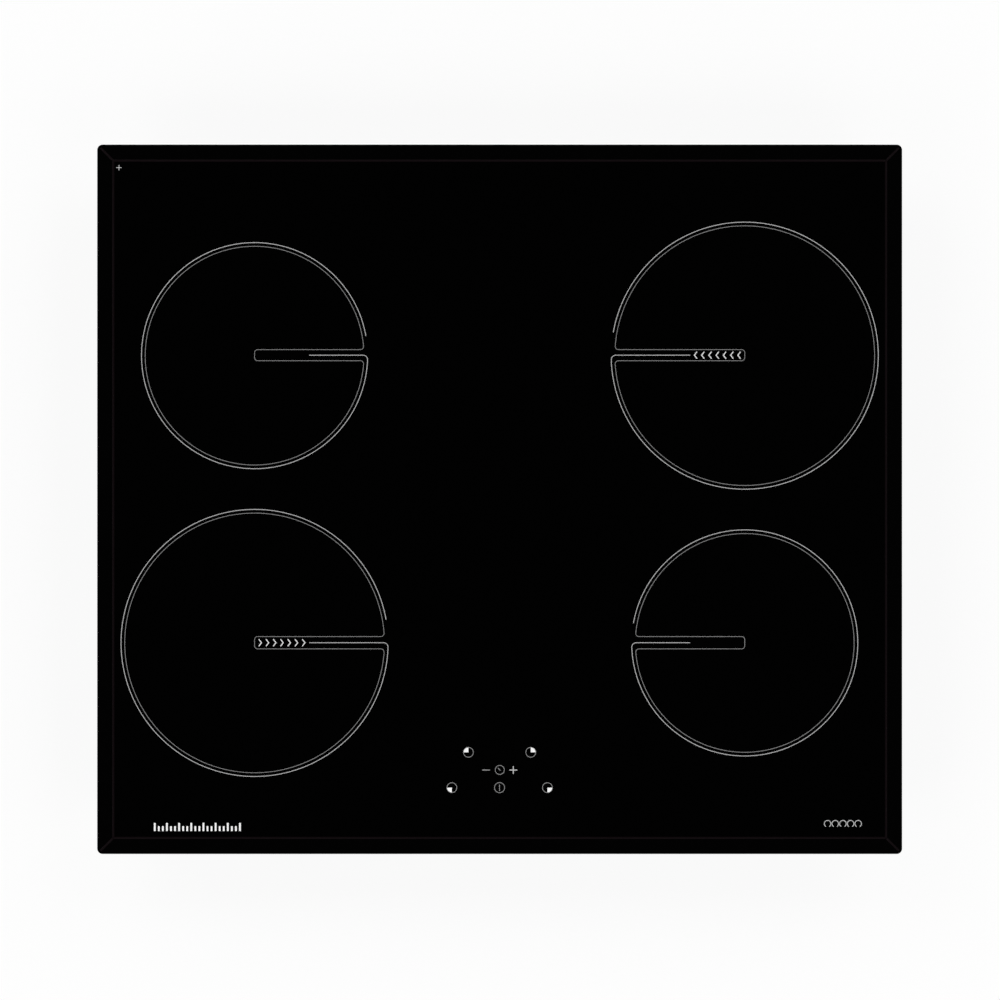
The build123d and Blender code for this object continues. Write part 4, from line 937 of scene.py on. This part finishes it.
class HOB_OT_screws(bpy.types.Operator):
    """Puts in threaded screws with cross recesses, and slotted terminal screws"""

    bl_idname = "hob.screws"
    bl_label = "Screws"

    def execute(self, context):
        sizes = context.scene.hob_screws
        # Bright zinc plate over cold-headed steel: smooth, with a slight bloom.
        zinc = grained("bright zinc plate", context.scene.hob_finish.zinc, 0.28, grain=1.5, depth=0.01,
                       Metallic=1.0)
        paint(zinc, "frame_screws", "clamp_screws")
        for node in ("frame_screws", "clamp_screws"):
            points = node_points(node)
            screws = []
            for x, y in CORNERS:
                one = points[(points[:, 0] * x > 0) & (points[:, 1] * y > 0)]
                out = np.array([x, 0.0, 0.0]) if node == "frame_screws" else DOWN
                screws.append(hexagon_screw(one, out, sizes))
            piece = new_piece(f"threaded_{node}", joined(screws), zinc)
            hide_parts(node)
        cages = node_points("terminal_cages")
        sides = np.unique(cages[:, 0].round(5))
        level, rear = cages[:, 2].min(), middle("terminal_cages")[1]
        heads = [slotted_head(np.array([(a + b) / 2, rear, level]), DOWN, sizes)
                 for a, b in zip(sides[::2], sides[1::2])]
        new_piece("terminal_screws", joined(heads), zinc)
        return {"FINISHED"}


class HOB_OT_seams(bpy.types.Operator):
    """Draws painted shadow strips along the open folds where the case's front and rear walls meet its
    sides
    """

    bl_idname = "hob.seams"
    bl_label = "Case seams"

    def execute(self, context):
        wire = context.scene.hob_wire
        points = node_points("bottom_case")
        low, high = points.min(axis=0), points.max(axis=0)
        ledge = points[points[:, 0] > high[0] - MM, 2].min()
        pan_half = points[points[:, 2] < low[2] + MM, 0].max()
        seams = [
            plate(self.strip(side * half, wall, side, wire), foot, head)
            for half, foot, head in ((high[0], ledge, high[2]), (pan_half, low[2], ledge))
            for wall in (low[1], high[1])
            for side in (-1, 1)
        ]
        # Painted shadow: a dark strip on the wall stands for the shade in the gap where two sheets of
        # steel are folded together and not welded.
        dark = grained("painted seam shadow", linear("#141516"), roughness=0.8, grain=1.0, depth=0.01, edge=0)
        new_piece("painted_seam_shadows", joined(seams), dark)
        return {"FINISHED"}

    def strip(self, corner, wall, side, wire):
        """The outline of one seam's painted shadow strip from above: a thin rectangle that stands just
        proud of the wall.
        """
        xs = sorted(corner - side * (wire.seam_inset + d) for d in (0, wire.seam_width))
        ys = wall - wire.seam_rise, wall + wire.seam_rise
        return [(xs[0], ys[0]), (xs[1], ys[0]), (xs[1], ys[1]), (xs[0], ys[1])]


class HOB_OT_coils(bpy.types.Operator):
    """Finishes the coils, their formers, plates, springs and sensors"""

    bl_idname = "hob.coils"
    bl_label = "Coils"

    def execute(self, context):
        colours = context.scene.hob_finish
        self.wind(context.scene.hob_wire, litz_wire(colours.copper))
        # Glass-filled polyester, moulded: cream, matt, with short fibres just under the skin.
        paint(grained("glass-filled polyester", colours.former, 0.55, grain=0.7, depth=0.02,
                      spread=0.05), "coil_former")
        # Pressed phlogopite flakes: straw-coloured, silky, with flakes a few millimetres wide.
        paint(grained("pressed mica", linear("#B9A983"), 0.4, grain=3.0, depth=0.03, spread=0.25,
                      IOR=1.58), "mica_sheets")
        # Sintered ferrite: dark grey ceramic with the press's fine grit.
        paint(grained("sintered ferrite", linear("#34353A"), 0.5, grain=0.4, depth=0.02, spread=0.18),
              "ferrite_bars", "choke", "filter_choke")
        # Moulded silicone rubber: off-white, with a soft, slightly greasy shine.
        paint(grained("moulded silicone rubber", linear("#D9D8D2"), 0.5, grain=1.0, depth=0.01,
                      IOR=1.41), "temp_sensors")
        # Cold-rolled spring strip and ground shafts: bluish steel with lengthwise lines.
        paint(grained("cold-rolled spring steel", linear("#B4B8BC"), 0.25, grain=0.5, depth=0.004,
                      Metallic=1.0, stretch=(20, 1, 1)), "coil_springs", "fan_shaft", "hinge_pin")
        # Mill-finish aluminium: pale, with streaks along the direction of rolling.
        paint(grained("mill-finish aluminium", linear("#D4D6D8"), 0.32, grain=0.6, depth=0.006,
                      Metallic=1.0, stretch=(1, 40, 1), spread=0.06), "coil_plate", "heatsink")
        return {"FINISHED"}

    def wind(self, wire, copper):
        """Winds a spiral of wire in the place of each coil's plain ring."""
        for zone in ZONES:
            node = f"coil_winding_{zone}"
            low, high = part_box(node)
            centre = middle(node)
            surface, spots = spiral_wire(centre, wire.bore, high.x - centre[0], low.z, high.z, wire)
            piece = new_piece(f"litz_spiral_{zone}", surface, copper, spots)
            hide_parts(node)
            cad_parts[node].material_slots[0].material = copper


class HOB_OT_mouldings(bpy.types.Operator):
    """Finishes the trays, covers, impellers and the terminal box"""

    bl_idname = "hob.mouldings"
    bl_label = "Mouldings"

    def execute(self, context):
        colours = context.scene.hob_finish
        # Glass-filled polyamide from a spark-eroded mould: near black with an even fine grain.
        paint(grained("glass-filled polyamide", colours.plastic, 0.6, grain=0.6, depth=0.02, IOR=1.53),
              "electronics_tray", "fan_cover", "control_carrier", "terminal_box", "terminal_cover",
              "filter_spacers")
        # Polybutylene terephthalate from a polished mould: black with a low sheen.
        paint(grained("moulded black polyester", linear("#101113"), 0.38, grain=2.5, depth=0.01,
                      IOR=1.55), "fan_impeller", "fan_motors")
        # Unfilled polyamide: milky ivory that lets a little light into its skin.
        paint(grained("natural polyamide", linear("#E2DFD2"), 0.5, grain=1.2, depth=0.01, spread=0.04,
                      Subsurface_Weight=0.1), "terminal_block")
        return {"FINISHED"}


class HOB_OT_electronics(bpy.types.Operator):
    """Finishes the circuit boards and what stands on them"""

    bl_idname = "hob.electronics"
    bl_label = "Electronics"

    def execute(self, context):
        colours = context.scene.hob_finish
        paint(circuit_board(colours.board), "power_board", "filter_board", "control_board")
        # Transfer-moulded epoxy: black, matt and slightly gritty.
        paint(grained("moulded epoxy", linear("#18191A"), 0.55, grain=0.3, depth=0.01),
              "power_transistors", "mains_relays", "digit_displays", "buzzer")
        # Moulded polypropylene boxes filled with resin: amber yellow with a waxy gloss.
        paint(grained("potted polypropylene box", linear("#C79A2C"), 0.3, grain=2.0, depth=0.01),
              "film_capacitors", "mains_capacitors")
        # Machined brass: turned faces with fine cutting lines.
        paint(grained("machined brass", linear("#D9B25A"), 0.25, grain=0.3, depth=0.004, Metallic=1.0,
                      stretch=(1, 8, 1)), "terminal_cages")
        paint(cell_foam("conductive carbon foam", linear("#2E2F31"), 0.6), "touch_electrodes")
        paint(lead_insulation(), "mains_leads")
        return {"FINISHED"}


# ---------------------------------------------------------------- operator: the stage
class HOB_OT_stage(bpy.types.Operator):
    """Adds the floor, the world, the lamps and the camera"""

    bl_idname = "hob.stage"
    bl_label = "Stage"

    def execute(self, context):
        settings = context.scene.hob_stage
        self.add_floor(settings)
        self.add_world(context.scene)
        self.add_lamps(settings)
        self.add_camera(context.scene, settings)
        context.scene.view_settings.view_transform = "Standard"
        return {"FINISHED"}

    def add_floor(self, settings):
        """A level square under the hob.

        To the camera it glows white, fully so from the full reach out, and nearer in it keeps a soft
        shadow. From below it can't be seen.
        """
        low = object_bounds()[0][2] - settings.floor_gap
        mesh = bpy.data.meshes.new("floor")
        mesh.from_pydata([(x, y, low) for x, y in CORNERS * settings.floor_half], [], [(0, 1, 2, 3)])
        material = bpy.data.materials.new("matt white paper")
        tree = self.bare_tree(material)
        seen = add_node(tree, "LightPath", out="Is Camera Ray")
        below = add_node(tree, "NewGeometry", out="Backfacing")
        glow = add_node(tree, "Emission", {"Color": (1, 1, 1, 1), "Strength": 1.0})
        paper = add_node(tree, "BsdfDiffuse", {"Color": (0.9, 0.9, 0.9, 1)})
        place = add_node(tree, "TexCoord", out="Object")
        reach = add_node(tree, "VectorMath", {0: place}, out="Value", operation="LENGTH")
        glowing = add_node(tree, "MapRange", {0: reach, 1: settings.dim_reach, 2: settings.full_reach,
                                              3: settings.dim_glow, 4: 1.0})
        part = add_node(tree, "Math", {0: seen, 1: glowing}, operation="MULTIPLY")
        lit = add_node(tree, "MixShader", {0: part, 1: paper, 2: glow})
        clear = add_node(tree, "BsdfTransparent")
        shown = add_node(tree, "MixShader", {0: below, 1: lit, 2: clear})
        add_node(tree, "OutputMaterial", {0: shown}, out=None)
        mesh.materials.append(material)
        floor = new_object("floor", mesh)
        floor.visible_diffuse = False
        floor.visible_glossy = False
        floor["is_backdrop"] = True

    def add_world(self, scene):
        """White to the camera. To everything else it is white up to the horizon and darkens overhead."""
        scene.world = bpy.data.worlds.new("studio")
        tree = self.bare_tree(scene.world)
        seen = add_node(tree, "LightPath", out="Is Camera Ray")
        direction = add_node(tree, "TexCoord", out="Generated")
        height = add_node(tree, "SeparateXYZ", {0: direction}, out="Z")
        level = add_node(tree, "MapRange", {0: height, 1: -1.0, 2: 1.0})
        sky = add_node(tree, "ValToRGB", {0: level})
        stops = sky.node.color_ramp.elements
        while len(stops) < len(SKY):
            stops.new(0.5)
        for stop, (position, value) in zip(stops, SKY):
            stop.position = position
            stop.color = (value, value, value, 1)
        white = add_node(tree, "Background", {0: (1, 1, 1, 1), 1: 1.0})
        room = add_node(tree, "Background", {0: sky, 1: 1.0})
        shown = add_node(tree, "MixShader", {0: seen, 1: room, 2: white})
        add_node(tree, "OutputWorld", {0: shown}, out=None)

    def bare_tree(self, owner):
        """The nodes of a new material or world, emptied."""
        owner.use_nodes = True
        owner.node_tree.nodes.clear()
        return owner.node_tree

    def add_lamps(self, settings):
        """Four soft lamps round the hob, so far from overhead that none is mirrored straight up."""
        tilt, reach = settings.lamp_tilt, settings.lamp_reach
        for i, turn in enumerate((45, 135, 225, 315)):
            light = bpy.data.lights.new(f"soft lamp {i + 1}", "AREA")
            light.shape = "DISK"
            light.size = settings.lamp_size
            light.energy = settings.lamp_power
            lamp = new_object(light.name, light)
            lamp.visible_glossy = False
            spin = math.radians(turn)
            lamp.location = (reach * math.sin(tilt) * math.cos(spin),
                             reach * math.sin(tilt) * math.sin(spin), reach * math.cos(tilt))
            lamp.rotation_euler = (0, tilt, spin)

    def add_camera(self, scene, settings):
        """A long lens straight above the glass, looking down with the rear of the hob upwards."""
        data = bpy.data.cameras.new("camera")
        data.sensor_width = 36.0
        data.lens = data.sensor_width * settings.distance / settings.view_width
        data.shift_x, data.shift_y = VIEW_SHIFT
        data.clip_end = 100.0
        scene.camera = new_object("camera", data)
        scene.camera.location = (0.0, 0.0, GLASS_TOP + settings.distance)


class HOB_PT_panel(bpy.types.Panel):
    """Lists the hob's operators in the sidebar"""

    bl_idname = "HOB_PT_panel"
    bl_label = "Induction hob"
    bl_space_type = "VIEW_3D"
    bl_region_type = "UI"
    bl_category = "Hob"

    def draw(self, context):
        for operator in OPERATORS:
            self.layout.operator(operator.bl_idname)
        for name in SETTINGS:
            box = self.layout.box()
            group = getattr(context.scene, name)
            for key in group.bl_rna.properties.keys():
                if key not in ("rna_type", "name"):
                    box.prop(group, key)


OPERATORS = (HOB_OT_glass, HOB_OT_bevel_lines, HOB_OT_zone_lines, HOB_OT_zone_marks,
             HOB_OT_key_symbols, HOB_OT_corner_marks, HOB_OT_case, HOB_OT_seams,
             HOB_OT_screws, HOB_OT_coils, HOB_OT_mouldings, HOB_OT_electronics, HOB_OT_stage)
SETTINGS = {"hob_print": HobPrint, "hob_wire": HobWire, "hob_screws": HobScrews,
            "hob_finish": HobFinish, "hob_stage": HobStage}


def register():
    """Registers the settings, the operators and the panel."""
    for name, group in SETTINGS.items():
        bpy.utils.register_class(group)
        setattr(bpy.types.Scene, name, bpy.props.PointerProperty(type=group))
    for operator in OPERATORS:
        bpy.utils.register_class(operator)
    bpy.utils.register_class(HOB_PT_panel)


def unregister():
    """Takes them away again."""
    bpy.utils.unregister_class(HOB_PT_panel)
    for operator in reversed(OPERATORS):
        bpy.utils.unregister_class(operator)
    for name, group in SETTINGS.items():
        delattr(bpy.types.Scene, name)
        bpy.utils.unregister_class(group)


def main():
    """Registers the add-on, then runs every operator, which makes every piece."""
    register()
    for operator in OPERATORS:
        group, name = operator.bl_idname.split(".")
        if getattr(getattr(bpy.ops, group), name)() != {"FINISHED"}:
            raise RuntimeError(f"{operator.bl_idname} did not finish")


if __name__ == "__main__":
    main()
